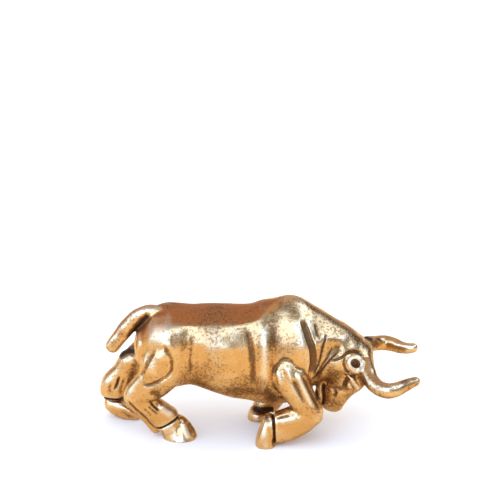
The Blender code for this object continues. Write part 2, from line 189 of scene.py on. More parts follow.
def fade(value: np.ndarray) -> np.ndarray:
    """A smooth step: 0 below 0, 1 above 1, and 3v^2 - 2v^3 between."""
    value = np.clip(value, 0.0, 1.0)
    return value * value * (3.0 - 2.0 * value)


def ease(value: np.ndarray, start: float, end: float) -> np.ndarray:
    """A smooth step that is 0 at start and 1 at end."""
    return fade((value - start) / (end - start))


def smooth_stations(stations: np.ndarray, rings_per_span: int) -> np.ndarray:
    """More stations, on a Catmull-Rom curve through the given ones.

    Args:
        stations: The given rows.
        rings_per_span: How many rows each span becomes.

    Returns:
        All the rows. Between two given rows the curve leaves each along the chord of its neighbours.
    """
    padded = np.vstack([2 * stations[0] - stations[1], stations, 2 * stations[-1] - stations[-2]])
    before, start = padded[:-3, None], padded[1:-2, None]
    end, after = padded[2:-1, None], padded[3:, None]
    step = np.linspace(0.0, 1.0, rings_per_span, endpoint=False)[None, :, None]
    rows = 0.5 * (
        2 * start
        + (end - before) * step
        + (2 * before - 5 * start + 4 * end - after) * step**2
        + (3 * start - before - 3 * end + after) * step**3
    )
    return np.vstack([rows.reshape(-1, stations.shape[1]), stations[-1:]])


@dataclass
class Skin:
    """A closed surface on a grid: its points in units, and its faces.

    Args:
        points: Rows of x, y, z.
        faces: Lists of point numbers.
    """

    points: np.ndarray
    faces: list[list[int]]


def skin_of_rings(rings: np.ndarray) -> Skin:
    """A closed skin over a stack of rings, with each end ring closed to its middle.

    Args:
        rings: Points in an array of rings by points by 3.

    Returns:
        The skin. A face joins each point to the next one round its ring and to the next ring's two.
    """
    count, around = rings.shape[:2]
    number = np.arange(count * around).reshape(count, around)
    onward = np.roll(number, -1, axis=1)
    walls = np.stack([number[:-1], onward[:-1], onward[1:], number[1:]], axis=-1).reshape(-1, 4)
    points = np.vstack([rings.reshape(-1, 3), rings[0].mean(axis=0), rings[-1].mean(axis=0)])
    first = np.stack([onward[0], number[0], np.full(around, count * around)], axis=-1)
    last = np.stack([number[-1], onward[-1], np.full(around, count * around + 1)], axis=-1)
    return Skin(points, walls.tolist() + first.tolist() + last.tolist())


@dataclass(frozen=True)
class LoftDetail:
    """How finely a loft is drawn.

    Args:
        rings_per_span: Rings between two stations.
        points_round: Points round a ring.
        dome_rings: Rings in a domed end.
        dome_turn: How far round a dome its last ring stands, in degrees. A flat cap closes the rest.
    """

    rings_per_span: int = 9
    points_round: int = 72
    dome_rings: int = 10
    dome_turn: float = 86.0


@dataclass(frozen=True)
class Loft:
    """A form lofted through rings that stand square to its path.

    Args:
        stations: Rows of x, y, z, half width sideways and half width across.
        dome: How far each end bulges, as a share of its half width across.
        squareness: The superellipse power of a ring; 2 is round and more is squarer.
        sideways: The direction that the first half width is measured in.
        both_sides: Whether the other flank has the same form.
    """

    stations: tuple[Station, ...]
    dome: float = 0.8
    squareness: float = 2.2
    sideways: Triple = (0.0, 1.0, 0.0)
    both_sides: bool = False

    def skins(self, detail: LoftDetail) -> list[Skin]:
        """The form's skin, and its mirror image where it has one.

        Args:
            detail: How finely it is drawn.

        Returns:
            One or two skins.
        """
        rows = smooth_stations(np.array(self.stations, float), detail.rings_per_span)
        squareness = np.full(len(rows), self.squareness)
        rings = self.rings(rows, squareness, squareness, self.dome, self.sideways, detail)
        made = [skin_of_rings(rings)]
        if self.both_sides:
            made.append(skin_of_rings(rings[:, ::-1] * (1.0, -1.0, 1.0)))
        return made

    @staticmethod
    def rings(
        rows: np.ndarray,
        above: np.ndarray,
        below: np.ndarray,
        dome: float,
        sideways: Triple,
        detail: LoftDetail,
    ) -> np.ndarray:
        """The rings of a loft.

        A ring's point at angle a is the centre plus sign(cos a)|cos a|^(2/p) half widths sideways plus
        sign(sin a)|sin a|^(2/p) half widths across. An end's dome is rings that shrink by cos t while
        they move out by sin t.

        Args:
            rows: Rows of x, y, z, half width sideways, half width across.
            above: Each ring's power where the sine is positive.
            below: Each ring's power elsewhere.
            dome: How far each end bulges.
            sideways: The direction of the first half width.
            detail: How finely it is drawn.

        Returns:
            Points in an array of rings by points by 3.
        """
        centres = rows[:, :3]
        tangents = unit_rows(np.gradient(centres, axis=0))
        side = np.array(sideways, float)
        side = unit_rows(side - tangents * (tangents @ side)[:, None])
        across = np.cross(tangents, side)

        tilt = np.linspace(0.0, math.radians(detail.dome_turn), detail.dome_rings + 1)[1:]
        last = len(rows) - 1
        index = np.concatenate([np.zeros(len(tilt), int), np.arange(len(rows)), np.full(len(tilt), last)])
        scale = np.concatenate([np.cos(tilt[::-1]), np.ones(len(rows)), np.cos(tilt)])
        out_at_start, out_at_end = -np.sin(tilt[::-1]) * rows[0, 4], np.sin(tilt) * rows[-1, 4]
        out = np.concatenate([out_at_start, np.zeros(len(rows)), out_at_end])

        angle = np.linspace(0.0, 2.0 * math.pi, detail.points_round, endpoint=False)[None, :]
        power = 2.0 / np.where(np.sin(angle) > 0, above[index][:, None], below[index][:, None])
        wide = np.sign(np.cos(angle)) * np.abs(np.cos(angle)) ** power
        tall = np.sign(np.sin(angle)) * np.abs(np.sin(angle)) ** power
        reach_side = (scale * rows[index, 3])[:, None] * wide
        reach_across = (scale * rows[index, 4])[:, None] * tall
        middles = centres[index] + (out * dome)[:, None] * tangents[index]
        return (
            middles[:, None]
            + reach_side[..., None] * side[index][:, None]
            + reach_across[..., None] * across[index][:, None]
        )


@dataclass(frozen=True)
class Torso:
    """The barrel, the hump and the neck in one loft with upright rings.

    Args:
        stations: Rows of x, top, bottom, half width, and the squareness of the top.
        roundness_below: The superellipse power below the middle.
        dome: How far each end bulges.
    """

    stations: tuple[Station, ...] = (
        (-37.4, 35.5, 21.5, 7.6, 2.3),
        (-34.2, 39.8, 17.5, 10.8, 2.6),
        (-30.0, 41.1, 15.6, 12.8, 2.9),
        (-26.0, 41.2, 16.0, 12.4, 2.9),
        (-21.5, 41.1, 16.4, 11.3, 2.9),
        (-14.5, 40.9, 14.1, 13.0, 2.9),
        (-9.0, 41.0, 12.2, 12.8, 2.8),
        (-3.4, 41.6, 10.8, 11.7, 2.6),
        (1.2, 43.2, 10.0, 13.0, 2.3),
        (5.0, 44.4, 9.9, 12.0, 2.1),
        (8.6, 45.6, 10.0, 12.1, 1.9),
        (13.0, 44.5, 12.0, 12.5, 1.8),
        (18.0, 41.3, 17.0, 10.9, 1.8),
        (23.5, 37.6, 19.0, 9.6, 1.8),
        (28.3, 34.4, 19.5, 8.7, 1.9),
        (31.6, 31.4, 20.0, 7.6, 2.1),
    )
    roundness_below: float = 2.2
    dome: float = 0.32

    def skins(self, detail: LoftDetail) -> list[Skin]:
        """The torso's skin. Its rings are lofted level and then lifted, so that they stay upright.

        Args:
            detail: How finely it is drawn.

        Returns:
            One skin.
        """
        rows = smooth_stations(np.array(self.stations, float), detail.rings_per_span)
        x, top, bottom, width, squareness = rows.T
        middle = (top + bottom) / 2.0
        level = np.column_stack([x, np.zeros_like(x), np.zeros_like(x), width, (top - bottom) / 2.0])
        below = np.full(len(x), self.roundness_below)
        rings = Loft.rings(level, squareness, below, self.dome, (0.0, 1.0, 0.0), detail)
        rings[..., 2] += np.interp(rings[..., 0], x, middle)
        return [skin_of_rings(rings)]


class Forms:
    """A group of forms, each of them a field."""

    def forms(self) -> list[Loft]:
        """All the lofts, in the order of the fields."""
        return [getattr(self, item.name) for item in fields(self)]


@dataclass(frozen=True)
class HeadForms(Forms):
    """The lowered head, the throat under it, the horns, and what sits on the cheek."""

    head: Loft = Loft(
        (
            (31.2, 0.0, 27.4, 7.4, 4.6), (29.5, 0.0, 23.6, 7.6, 6.6), (26.8, 0.0, 19.0, 7.0, 6.9),
            (24.5, 0.0, 14.8, 5.8, 5.3), (23.2, 0.0, 11.4, 5.1, 4.3), (22.5, 0.0, 9.0, 4.4, 3.7),
        ),
        dome=0.7, squareness=2.5,
    )
    throat: Loft = Loft(
        (
            (14.0, 0.0, 25.0, 5.6, 4.0), (18.4, 0.0, 20.0, 5.2, 3.0), (20.0, 0.0, 15.2, 4.4, 2.6),
            (20.1, 0.0, 12.2, 3.8, 3.0), (20.8, 0.0, 9.8, 3.2, 2.6),
        ),
        dome=0.6,
    )
    horn: Loft = Loft(
        (
            (31.5, 0.0, 25.0, 3.6, 3.2), (32.5, 5.5, 24.7, 3.4, 3.0), (33.4, 10.2, 24.0, 2.9, 2.7),
            (34.6, 13.8, 22.9, 2.5, 2.5), (36.8, 16.7, 21.9, 2.4, 2.4), (39.6, 18.0, 21.4, 2.42, 2.42),
            (42.1, 17.0, 21.3, 2.3, 2.3), (44.5, 14.8, 21.4, 2.0, 2.0), (46.9, 13.0, 21.7, 1.75, 1.75),
            (48.5, 12.6, 22.1, 1.55, 1.55),
        ),
        dome=1.0, sideways=(0.0, 0.0, 1.0), both_sides=True,
    )
    ear: Loft = Loft(
        (
            (28.4, -7.6, 28.4, 1.5, 1.7), (29.3, -8.4, 27.4, 1.5, 2.3), (30.4, -8.6, 26.3, 1.5, 2.3),
            (31.4, -8.4, 25.2, 1.4, 1.6),
        ),
        both_sides=True,
    )
    ear_rim: Loft = Loft(
        (
            (32.1, -9.0, 25.6, 0.95, 0.95), (31.5, -9.4, 24.2, 1.05, 1.05),
            (29.9, -9.8, 24.6, 0.90, 0.90), (28.4, -10.0, 25.8, 0.82, 0.82),
            (27.8, -9.7, 27.2, 0.80, 0.80), (28.5, -9.2, 28.3, 0.78, 0.78),
            (29.8, -8.9, 28.4, 0.78, 0.78), (31.2, -8.7, 27.3, 0.85, 0.85),
            (32.1, -9.0, 25.6, 0.95, 0.95),
        ),
        dome=0.5, squareness=2.0, sideways=(0.0, 0.92, 0.39), both_sides=True,
    )
    brow: Loft = Loft(
        ((27.6, -8.2, 22.2, 0.75, 0.75), (29.0, -8.3, 19.8, 1.0, 1.0), (30.4, -7.0, 17.2, 0.9, 0.9)),
        both_sides=True,
    )


@dataclass(frozen=True)
class ForeLegs(Forms):
    """The front legs. The right knee is thrown forward, and the left one is set back under the chest."""

    right_arm: Loft = Loft(
        (
            (6.2, -6.8, 29.5, 4.4, 5.6), (8.8, -9.8, 24.0, 4.4, 6.0), (11.7, -11.5, 18.2, 3.9, 4.8),
            (14.8, -11.8, 13.0, 3.8, 4.1), (16.3, -11.6, 10.7, 3.9, 3.7),
        ),
    )
    right_shank: Loft = Loft(
        (
            (16.5, -11.6, 10.8, 3.9, 3.7), (12.6, -11.4, 8.6, 4.0, 4.9), (8.2, -11.2, 6.4, 4.2, 5.2),
            (5.1, -11.1, 5.4, 4.1, 5.0),
        ),
        squareness=2.5,
    )
    right_hoof: Loft = Loft(
        (
            (2.7, -11.1, 9.6, 2.0, 1.1), (2.4, -11.1, 7.0, 3.0, 1.9), (1.9, -11.1, 3.6, 4.0, 2.7),
            (1.7, -11.1, 0.4, 4.6, 3.2), (1.7, -11.1, -2.0, 4.6, 3.2),
        ),
        dome=0.3, squareness=2.4,
    )
    left_arm: Loft = Loft(
        ((5.0, 8.0, 28.0, 4.4, 5.4), (8.6, 9.6, 21.5, 4.2, 5.0), (11.6, 9.8, 15.6, 3.8, 4.0))
    )
    left_shank: Loft = Loft(
        (
            (11.8, 9.8, 14.8, 3.8, 3.6), (7.8, 9.2, 11.4, 3.6, 3.2), (4.6, 8.7, 7.7, 3.4, 3.9),
            (2.3, 8.4, 5.1, 3.3, 4.2),
        ),
        squareness=2.3,
    )
    left_hoof: Loft = Loft(
        (
            (1.0, 8.3, 4.6, 3.3, 2.6), (-0.1, 8.2, 2.8, 3.8, 2.9), (-0.8, 8.1, 0.4, 4.1, 3.1),
            (-1.0, 8.1, -2.0, 4.1, 3.1),
        ),
        dome=0.3, squareness=2.4,
    )


@dataclass(frozen=True)
class HindLegs(Forms):
    """The hind legs and the tail. The right foot steps under the belly, and the left one pushes off."""

    right_thigh: Loft = Loft(
        (
            (-28.6, -6.6, 31.0, 5.4, 7.2), (-30.4, -7.9, 25.2, 5.0, 7.6), (-33.8, -8.2, 19.8, 4.4, 5.8),
            (-38.4, -7.9, 15.8, 3.9, 4.3),
        ),
    )
    right_shank: Loft = Loft(
        (
            (-39.6, -7.8, 15.6, 3.8, 3.8), (-36.6, -7.4, 12.4, 3.7, 4.3), (-32.6, -6.9, 9.2, 3.6, 4.0),
            (-29.4, -6.5, 6.2, 3.8, 4.4),
        ),
        squareness=2.5,
    )
    right_hoof: Loft = Loft(
        (
            (-27.8, -6.2, 4.8, 2.9, 4.3), (-26.4, -6.0, 2.4, 4.1, 4.9), (-25.5, -5.9, -0.2, 5.2, 5.4),
            (-25.1, -5.9, -2.4, 6.0, 5.6),
        ),
        dome=0.3, squareness=2.05,
    )
    right_heel: Loft = Loft(
        (
            (-41.0, -6.6, 12.0, 1.6, 1.6), (-37.8, -5.8, 8.2, 1.6, 1.5), (-34.6, -5.2, 4.2, 1.7, 1.5),
            (-32.8, -5.0, 2.0, 1.8, 1.6),
        ),
    )
    left_thigh: Loft = Loft(
        (
            (-28.6, 6.6, 31.0, 5.4, 7.2), (-33.4, 8.4, 24.6, 5.0, 5.6), (-38.0, 9.2, 20.6, 4.2, 4.9),
            (-40.8, 9.3, 18.6, 3.8, 4.1),
        ),
    )
    left_shank: Loft = Loft(
        (
            (-41.0, 9.3, 19.2, 3.8, 3.9), (-43.2, 9.2, 15.2, 3.5, 3.8), (-46.3, 9.2, 11.4, 3.6, 4.0),
            (-47.0, 9.2, 8.4, 3.6, 3.9),
        ),
        squareness=2.5,
    )
    left_hoof: Loft = Loft(
        (
            (-47.8, 9.0, 5.0, 3.3, 2.6), (-45.6, 9.0, 3.9, 3.9, 3.2), (-42.0, 9.0, 2.2, 4.2, 3.2),
            (-39.2, 8.8, 1.0, 3.8, 2.5),
        ),
        dome=0.6, squareness=2.4,
    )
    tail: Loft = Loft(
        (
            (-29.5, 0.0, 38.4, 2.2, 2.2), (-33.5, 0.0, 39.7, 2.4, 2.9), (-37.9, 0.0, 38.5, 2.4, 2.9),
            (-41.3, 0.0, 35.5, 2.35, 2.6), (-44.1, 0.0, 31.8, 2.3, 2.4), (-46.5, 0.0, 28.4, 2.2, 2.3),
        ),
        dome=0.9,
    )


@dataclass(frozen=True)
class Carving:
    """Every stroke and facet of the carving, named for what it shows.

    A shade is a stroke of brown or black and a gloss is a stroke of lighter brass, with next to no depth.
    Most shades are painted shade where the metal looks dark in the room's light, and every gloss is a
    painted highlight.

    Args:
        left_arm_shift: How far the right arm's strokes move on the plate to fall on the left arm.
        left_hind_shift: The same for the tendons of the hind leg.
        facets: The planes that are filed.
    """

    flank_line: Stroke = Stroke(
        Place.BOTH, 1.0, 0.35,
        ((-20.6, 31.2), (-21.2, 27.7), (-21.6, 24.6), (-21.9, 19.0), (-22.0, 13.4)),
        0.3, ends=0.3,
    )
    back_crease: Stroke = Stroke(
        Place.BOTH, 1.6, -0.22,
        (
            (-31.5, 31.9), (-18.9, 31.9), (-7.9, 32.1), (-4.3, 32.8), (-0.6, 33.7), (3.7, 36.1),
            (6.6, 39.1),
        ),
        profile=Profile.SHARP, ends=0.25,
    )
    rib_groove: Stroke = Stroke(
        Place.BOTH, 1.4, 0.55,
        ((-4.2, 32.4), (-3.7, 29.0), (-2.9, 25.4), (-2.6, 20.0), (-2.4, 12.4)),
        0.56, ends=0.22,
    )
    blade_ridge: Stroke = Stroke(
        Place.BOTH, 3.2, -0.8,
        ((0.0, 35.0), (0.9, 31.5), (1.6, 27.5), (1.6, 22.0), (1.3, 16.0), (2.0, 10.0)),
        ends=0.3,
    )
    # Painted shade: the dim band across the top of the thigh.
    thigh_top_shade: Stroke = Stroke(
        Place.BOTH, 3.2, 0.02, ((-28.4, 28.6), (-25.6, 27.2), (-22.6, 25.2)), 0.5
    )
    # Painted highlight on the ribs.
    rib_gloss: Stroke = Stroke(Place.BOTH, 2.6, -0.02, ((-7.6, 29.0), (-5.9, 25.5)), rub_and_highlight=0.35)
    shoulder_swell: Stroke = Stroke(Place.BOTH, 6.5, -0.6, ((12.8, 31.0), (13.8, 26.5)))
    # Painted shade on the shoulder and along the top of the hump.
    shoulder_shade: Stroke = Stroke(
        Place.BOTH, 3.0, 0.02, ((5.4, 37.4), (4.0, 33.4), (4.0, 28.6), (4.8, 24.2)), 0.46, ends=0.2
    )
    hump_shade: Stroke = Stroke(
        Place.BOTH, 3.4, 0.02, ((4.4, 38.4), (8.2, 38.4), (12.4, 35.6)), 0.5, ends=0.2
    )
    # Painted highlight along the crest of the shoulder blade.
    blade_gloss: Stroke = Stroke(
        Place.BOTH, 1.3, -0.02, ((-0.6, 31.6), (0.9, 28.6), (1.3, 22.0), (1.4, 13.0)), ends=0.3, rub_and_highlight=0.8
    )
    neck_gouge: Stroke = Stroke(
        Place.BOTH, 1.3, 0.9,
        (
            (12.9, 34.9), (14.1, 31.4), (15.2, 28.2), (16.2, 25.1), (16.6, 22.6), (16.5, 19.5),
            (15.6, 15.7),
        ),
        0.8, Profile.FLAT, 0.18,
    )
    neck_nick: Stroke = Stroke(
        Place.BOTH, 0.8, 0.35, ((17.2, 33.0), (17.8, 30.5), (18.5, 27.2)), 0.4, ends=0.3
    )
    curtain_edge: Stroke = Stroke(
        Place.BOTH, 3.0, -0.5,
        ((15.8, 24.0), (18.4, 27.4), (20.8, 28.2), (23.0, 28.2), (25.8, 27.6), (28.4, 27.2)),
        ends=0.25,
    )
    neck_tuck: Stroke = Stroke(
        Place.BOTH, 4.0, 0.7, ((16.6, 19.0), (19.4, 22.6), (22.6, 24.2), (26.6, 24.6)), ends=0.2
    )
    neck_fold_a: Stroke = Stroke(
        Place.BOTH, 0.55, 0.6,
        (
            (20.6, 29.9), (20.2, 27.4), (19.4, 25.2), (18.9, 23.0), (18.4, 20.8), (17.3, 18.3),
            (16.2, 16.1),
        ),
        1.2, ends=0.15,
    )
    neck_fold_b: Stroke = Stroke(
        Place.BOTH, 0.55, 0.55,
        ((23.0, 26.2), (21.7, 23.9), (20.8, 22.0), (19.5, 20.2), (18.3, 18.0), (16.4, 15.7)),
        1.15, ends=0.2,
    )
    neck_fold_c: Stroke = Stroke(
        Place.BOTH, 0.55, 0.6,
        (
            (25.6, 25.1), (23.6, 23.3), (22.0, 21.6), (20.8, 20.2), (19.2, 18.3), (17.6, 16.7),
            (15.8, 14.8),
        ),
        1.25, ends=0.15,
    )
    cheek_line: Stroke = Stroke(
        Place.BOTH, 0.75, 0.7,
        (
            (21.4, 20.9), (24.3, 21.7), (26.1, 22.6), (27.1, 23.6), (28.6, 24.2), (30.6, 24.0),
            (32.4, 22.6),
        ),
        0.85, ends=0.15,
    )
    cheek_back: Stroke = Stroke(
        Place.BOTH, 1.1, 0.5, ((20.6, 20.0), (18.8, 17.6), (17.4, 14.8)), 0.75, ends=0.2
    )
    cheek: Stroke = Stroke(Place.BOTH, 4.0, -0.5, ((23.8, 19.6), (25.0, 19.8)))
    # A brown layer with no depth, laid over the cheek and the muzzle.
    cheek_shade: Stroke = Stroke(Place.BOTH, 4.6, 0.0, ((22.2, 17.4), (24.4, 15.6)), 0.58)
    muzzle_shade: Stroke = Stroke(Place.BOTH, 4.4, 0.0, ((22.0, 9.0), (24.0, 7.0)), 0.5)
    cheek_crease: Stroke = Stroke(
        Place.BOTH, 1.2, 0.45,
        ((20.8, 13.4), (22.4, 12.8), (24.6, 12.4), (26.4, 12.2), (28.8, 11.8)),
        0.62, ends=0.3,
    )
    eye_socket: Stroke = Stroke(
        Place.BOTH, 1.0, 0.8, ((27.6, 16.4), (26.8, 14.7), (26.1, 12.8), (25.8, 12.0)), 1.0, ends=0.25
    )
    # Painted highlight along the brow ridge.
    brow_gloss: Stroke = Stroke(
        Place.BOTH, 0.85, -0.4, ((28.3, 16.3), (29.4, 14.2), (30.7, 12.0)), ends=0.15, rub_and_highlight=1.0
    )
    brow_recess: Stroke = Stroke(
        Place.BOTH, 1.4, 0.6, ((30.6, 16.6), (31.8, 14.6), (32.1, 12.8)), 0.62, ends=0.2
    )
    # Painted glint on the eye.
    eye: Stroke = Stroke(Place.BOTH, 1.0, -0.5, ((27.8, 13.4), (28.1, 12.8)), rub_and_highlight=0.7)
    nostril: Stroke = Stroke(
        Place.BOTH, 0.8, 0.5, ((23.2, 12.4), (23.6, 11.0), (22.9, 9.6)), 0.9, ends=0.25
    )
    muzzle_back: Stroke = Stroke(
        Place.BOTH, 0.8, 0.7, ((20.0, 14.2), (19.8, 11.6), (20.0, 9.6), (19.6, 7.0)), 1.25, ends=0.1
    )
    # Painted shade in the throat under the jaw, with a painted highlight along its edge.
    throat_dark: Stroke = Stroke(
        Place.BOTH, 1.1, 0.3, ((17.6, 15.0), (17.6, 12.0), (18.2, 8.6)), 1.15, ends=0.1
    )
    throat_gloss: Stroke = Stroke(
        Place.BOTH, 0.5, -0.3, ((18.9, 13.8), (18.8, 11.4), (18.7, 9.4)), rub_and_highlight=0.8
    )
    ear_cup: Stroke = Stroke(Place.BOTH, 1.35, 1.1, ((29.5, 20.6), (30.0, 20.2)), 1.0, Profile.FLAT)
    # Painted highlight round the ear's rim.
    ear_gloss: Stroke = Stroke(
        Place.BOTH, 1.1, -0.2,
        ring_route((29.8, 20.1), (2.1, 2.15)),
        profile=Profile.FLAT, ends=0.0, rub_and_highlight=0.8,
    )
    # Painted shadow round the ear, laid in a shallow groove.
    ear_shade: Stroke = Stroke(
        Place.BOTH, 0.6, 0.4,
        ((26.8, 22.8), (26.2, 20.6), (26.7, 18.4), (28.4, 16.6), (30.4, 16.0)),
        0.75, ends=0.15,
    )
    horn_root: Stroke = Stroke(
        Place.LEFT_SEEN_ACROSS, 1.3, 0.4, ((32.8, 29.3), (34.0, 28.3), (35.8, 27.6)), 1.2, ends=0.2
    )
    far_horn_shade: Stroke = Stroke(Place.LEFT_SEEN_ACROSS, 2.6, 0.02, ((33.6, 26.6), (36.4, 26.6)), 0.75)

    thigh_front: Stroke = Stroke(
        Place.BOTH, 1.0, 0.5,
        (
            (-30.7, 26.0), (-29.3, 24.6), (-28.3, 23.0), (-27.6, 20.5), (-27.7, 18.0), (-28.7, 16.4),
            (-30.6, 15.1), (-33.1, 13.9), (-35.3, 13.4), (-37.2, 13.9),
        ),
        0.58,
    )
    thigh_back: Stroke = Stroke(
        Place.BOTH, 0.85, 0.4,
        ((-32.6, 24.6), (-34.0, 22.4), (-35.0, 20.8), (-35.9, 18.9), (-36.7, 17.0), (-37.0, 15.2)),
        0.5, ends=0.2,
    )
    thigh_leaf: Stroke = Stroke(Place.BOTH, 3.4, -0.8, ((-31.6, 21.6), (-33.2, 18.0)))
    rump_shade: Stroke = Stroke(
        Place.BOTH, 1.0, 0.3, ((-35.0, 34.8), (-37.6, 32.4), (-39.2, 29.6), (-39.8, 26.0)), 0.3, ends=0.2
    )
    # Patina in the crevice under the tail, darkened further with painted shade.
    tail_under: Stroke = Stroke(
        Place.BOTH, 1.7, 0.4,
        ((-34.2, 35.9), (-36.0, 34.4), (-38.3, 32.0), (-40.2, 29.6), (-41.6, 27.2)),
        1.3, ends=0.15,
    )

    arm_arc: Stroke = Stroke(
        Place.RIGHT, 0.9, 0.4,
        (
            (3.6, 15.4), (4.6, 18.6), (6.2, 20.9), (7.9, 21.7), (9.6, 21.0), (10.9, 19.4), (12.1, 18.8),
            (13.6, 18.2), (15.3, 16.1),
        ),
        0.55, ends=0.2,
    )
    # Painted highlights on the arm: its elbow ridges, its middle and its bone.
    elbow_ridge_a: Stroke = Stroke(
        Place.RIGHT, 1.4, -0.55, ((5.3, 18.8), (6.0, 16.0), (6.9, 12.4)), ends=0.35, rub_and_highlight=0.5
    )
    elbow_ridge_b: Stroke = Stroke(
        Place.RIGHT, 1.6, -0.75, ((7.7, 20.4), (8.9, 17.6), (10.3, 13.6)), ends=0.35, rub_and_highlight=0.6
    )
    arm_gloss: Stroke = Stroke(
        Place.RIGHT, 2.6, -0.02, ((8.2, 17.0), (10.6, 11.8), (13.0, 7.4)), ends=0.25, rub_and_highlight=0.35
    )
    arm_bone: Stroke = Stroke(
        Place.RIGHT, 1.3, -0.7, ((11.0, 17.8), (12.9, 13.9), (15.0, 9.4), (16.8, 5.6)), ends=0.2, rub_and_highlight=1.0
    )
    arm_valley: Stroke = Stroke(
        Place.RIGHT, 0.9, 0.5, ((9.6, 16.2), (11.4, 12.6), (12.8, 9.8), (14.2, 7.0)), 0.75, ends=0.3
    )
    arm_front: Stroke = Stroke(
        Place.RIGHT, 0.7, 0.3, ((12.9, 17.0), (14.9, 12.8), (16.9, 8.6), (18.4, 5.4)), 0.8, ends=0.2
    )
    chest_edge: Stroke = Stroke(
        Place.BOTH, 1.8, 0.5,
        ((-12.0, 11.4), (-6.3, 11.0), (-1.0, 10.8), (3.4, 9.0), (6.8, 7.2), (9.4, 5.4)),
        0.42, ends=0.25,
    )
    # Painted shade where the arm meets the chest.
    arm_pit: Stroke = Stroke(
        Place.RIGHT, 1.9, 0.05, ((0.8, 12.8), (3.2, 10.6), (5.4, 8.4)), 0.75, ends=0.2
    )
    # Painted shade in the gap above the far fore hoof, and a painted highlight on that hoof.
    far_pastern_shade: Stroke = Stroke(
        Place.LEFT_SEEN_ACROSS, 1.9, 0.1, ((-2.8, 6.2), (0.8, 5.8), (4.6, 6.0)), 1.25, ends=0.1
    )
    far_fore_gloss: Stroke = Stroke(
        Place.LEFT_SEEN_ACROSS, 1.5, -0.1, ((-2.6, 4.4), (-1.6, 3.0), (-0.6, 2.0)), ends=0.2, rub_and_highlight=0.7
    )
    fore_tendon: Stroke = Stroke(
        Place.RIGHT, 0.6, 0.35, ((4.8, 3.0), (7.0, 3.7), (9.6, 4.1)), 1.0, ends=0.3
    )
    # Painted shadow along the top edge of the fore shank, laid in a shallow groove.
    fore_shank_top: Stroke = Stroke(
        Place.RIGHT, 0.6, 0.2, ((4.2, 5.6), (6.4, 5.9), (8.8, 6.3), (10.8, 5.6)), 0.85, ends=0.25
    )
    # Painted highlight on the fore shank's bone.
    fore_shank_bone: Stroke = Stroke(
        Place.RIGHT, 2.0, -0.5, ((5.0, 1.8), (8.4, 2.6), (12.2, 3.4)), ends=0.3, rub_and_highlight=0.65
    )
    # Painted shade on the pastern above the right fore hoof.
    pastern_shade: Stroke = Stroke(Place.RIGHT, 1.5, 0.2, ((1.6, 3.9), (2.4, 2.2)), 0.7)
    right_fore_ring: Stroke = Stroke(
        Place.ROUND_RIGHT_FOOT, 0.75, 0.8, ((3.3, 12.6), (4.1, 8.7), (4.3, 4.7), (4.3, 0.2)), 1.25
    )
    left_fore_ring: Stroke = Stroke(
        Place.ROUND_LEFT_FOOT, 1.1, 0.8, ((-4.6, 3.9), (-1.0, 3.2), (4.2, 1.9)), 1.2
    )
    right_hind_ring: Stroke = Stroke(
        Place.ROUND_RIGHT_FOOT, 0.8, 0.8, ((-33.6, 3.9), (-31.3, 4.4), (-27.1, 6.9), (-24.0, 8.7)), 1.25
    )
    left_hind_ring: Stroke = Stroke(
        Place.ROUND_LEFT_FOOT, 0.85, 0.7, ((-50.6, 7.0), (-46.0, 6.7), (-42.9, 6.2), (-41.0, 4.3)), 1.25
    )
    hind_edge: Stroke = Stroke(
        Place.RIGHT, 0.6, 0.35,
        ((-42.2, 9.4), (-39.4, 6.3), (-36.2, 3.5), (-34.0, 0.9), (-32.4, -0.6)),
        0.85, ends=0.2,
    )
    hind_tendon_a: Stroke = Stroke(
        Place.RIGHT, 0.65, 0.45, ((-35.2, 8.8), (-33.1, 6.6), (-31.0, 4.6)), 1.15, ends=0.3
    )
    hind_tendon_b: Stroke = Stroke(
        Place.RIGHT, 0.5, 0.3, ((-35.8, 7.6), (-33.6, 5.5), (-31.4, 3.6)), 0.7, ends=0.3
    )
    hind_tendon_c: Stroke = Stroke(
        Place.RIGHT, 0.45, 0.25, ((-37.2, 6.9), (-35.2, 4.9), (-33.4, 3.2)), 0.5, ends=0.3
    )
    # Painted highlight on the hind shank's bone.
    shank_bone: Stroke = Stroke(
        Place.RIGHT, 2.2, -0.6, ((-32.0, 7.4), (-29.6, 5.2), (-26.8, 3.8)), ends=0.25, rub_and_highlight=0.85
    )
    # Painted shade in the crotch of the hind leg and along the shank's front edge.
    hind_crotch: Stroke = Stroke(
        Place.RIGHT, 1.4, 0.3, ((-35.0, 11.2), (-32.6, 10.8), (-30.8, 9.0)), 0.6, ends=0.25
    )
    shank_front: Stroke = Stroke(
        Place.RIGHT, 0.9, 0.05, ((-31.4, 10.6), (-29.0, 8.4), (-26.0, 6.8), (-24.0, 5.0)), 0.7, ends=0.2
    )
    # Painted shade on the hoof's right plane, and painted highlights on its edge and its left side.
    hoof_plane: Stroke = Stroke(
        Place.RIGHT, 1.3, 0.3, ((-23.0, 2.2), (-21.2, -0.4), (-20.0, -2.8)), 0.55, ends=0.15
    )
    hoof_hollow: Stroke = Stroke(
        Place.RIGHT, 1.3, 0.3, ((-25.7, 1.2), (-25.8, -1.0), (-25.8, -3.4)), 0.1, ends=0.2
    )
    hoof_edge: Stroke = Stroke(
        Place.RIGHT, 1.3, -0.3, ((-24.4, 1.8), (-23.2, -1.0), (-22.0, -3.6)), ends=0.15, rub_and_highlight=0.85
    )
    hoof_gloss: Stroke = Stroke(
        Place.RIGHT, 2.6, -0.05, ((-30.8, -0.8), (-28.8, -0.2), (-27.2, 0.8)), ends=0.1, rub_and_highlight=1.0
    )
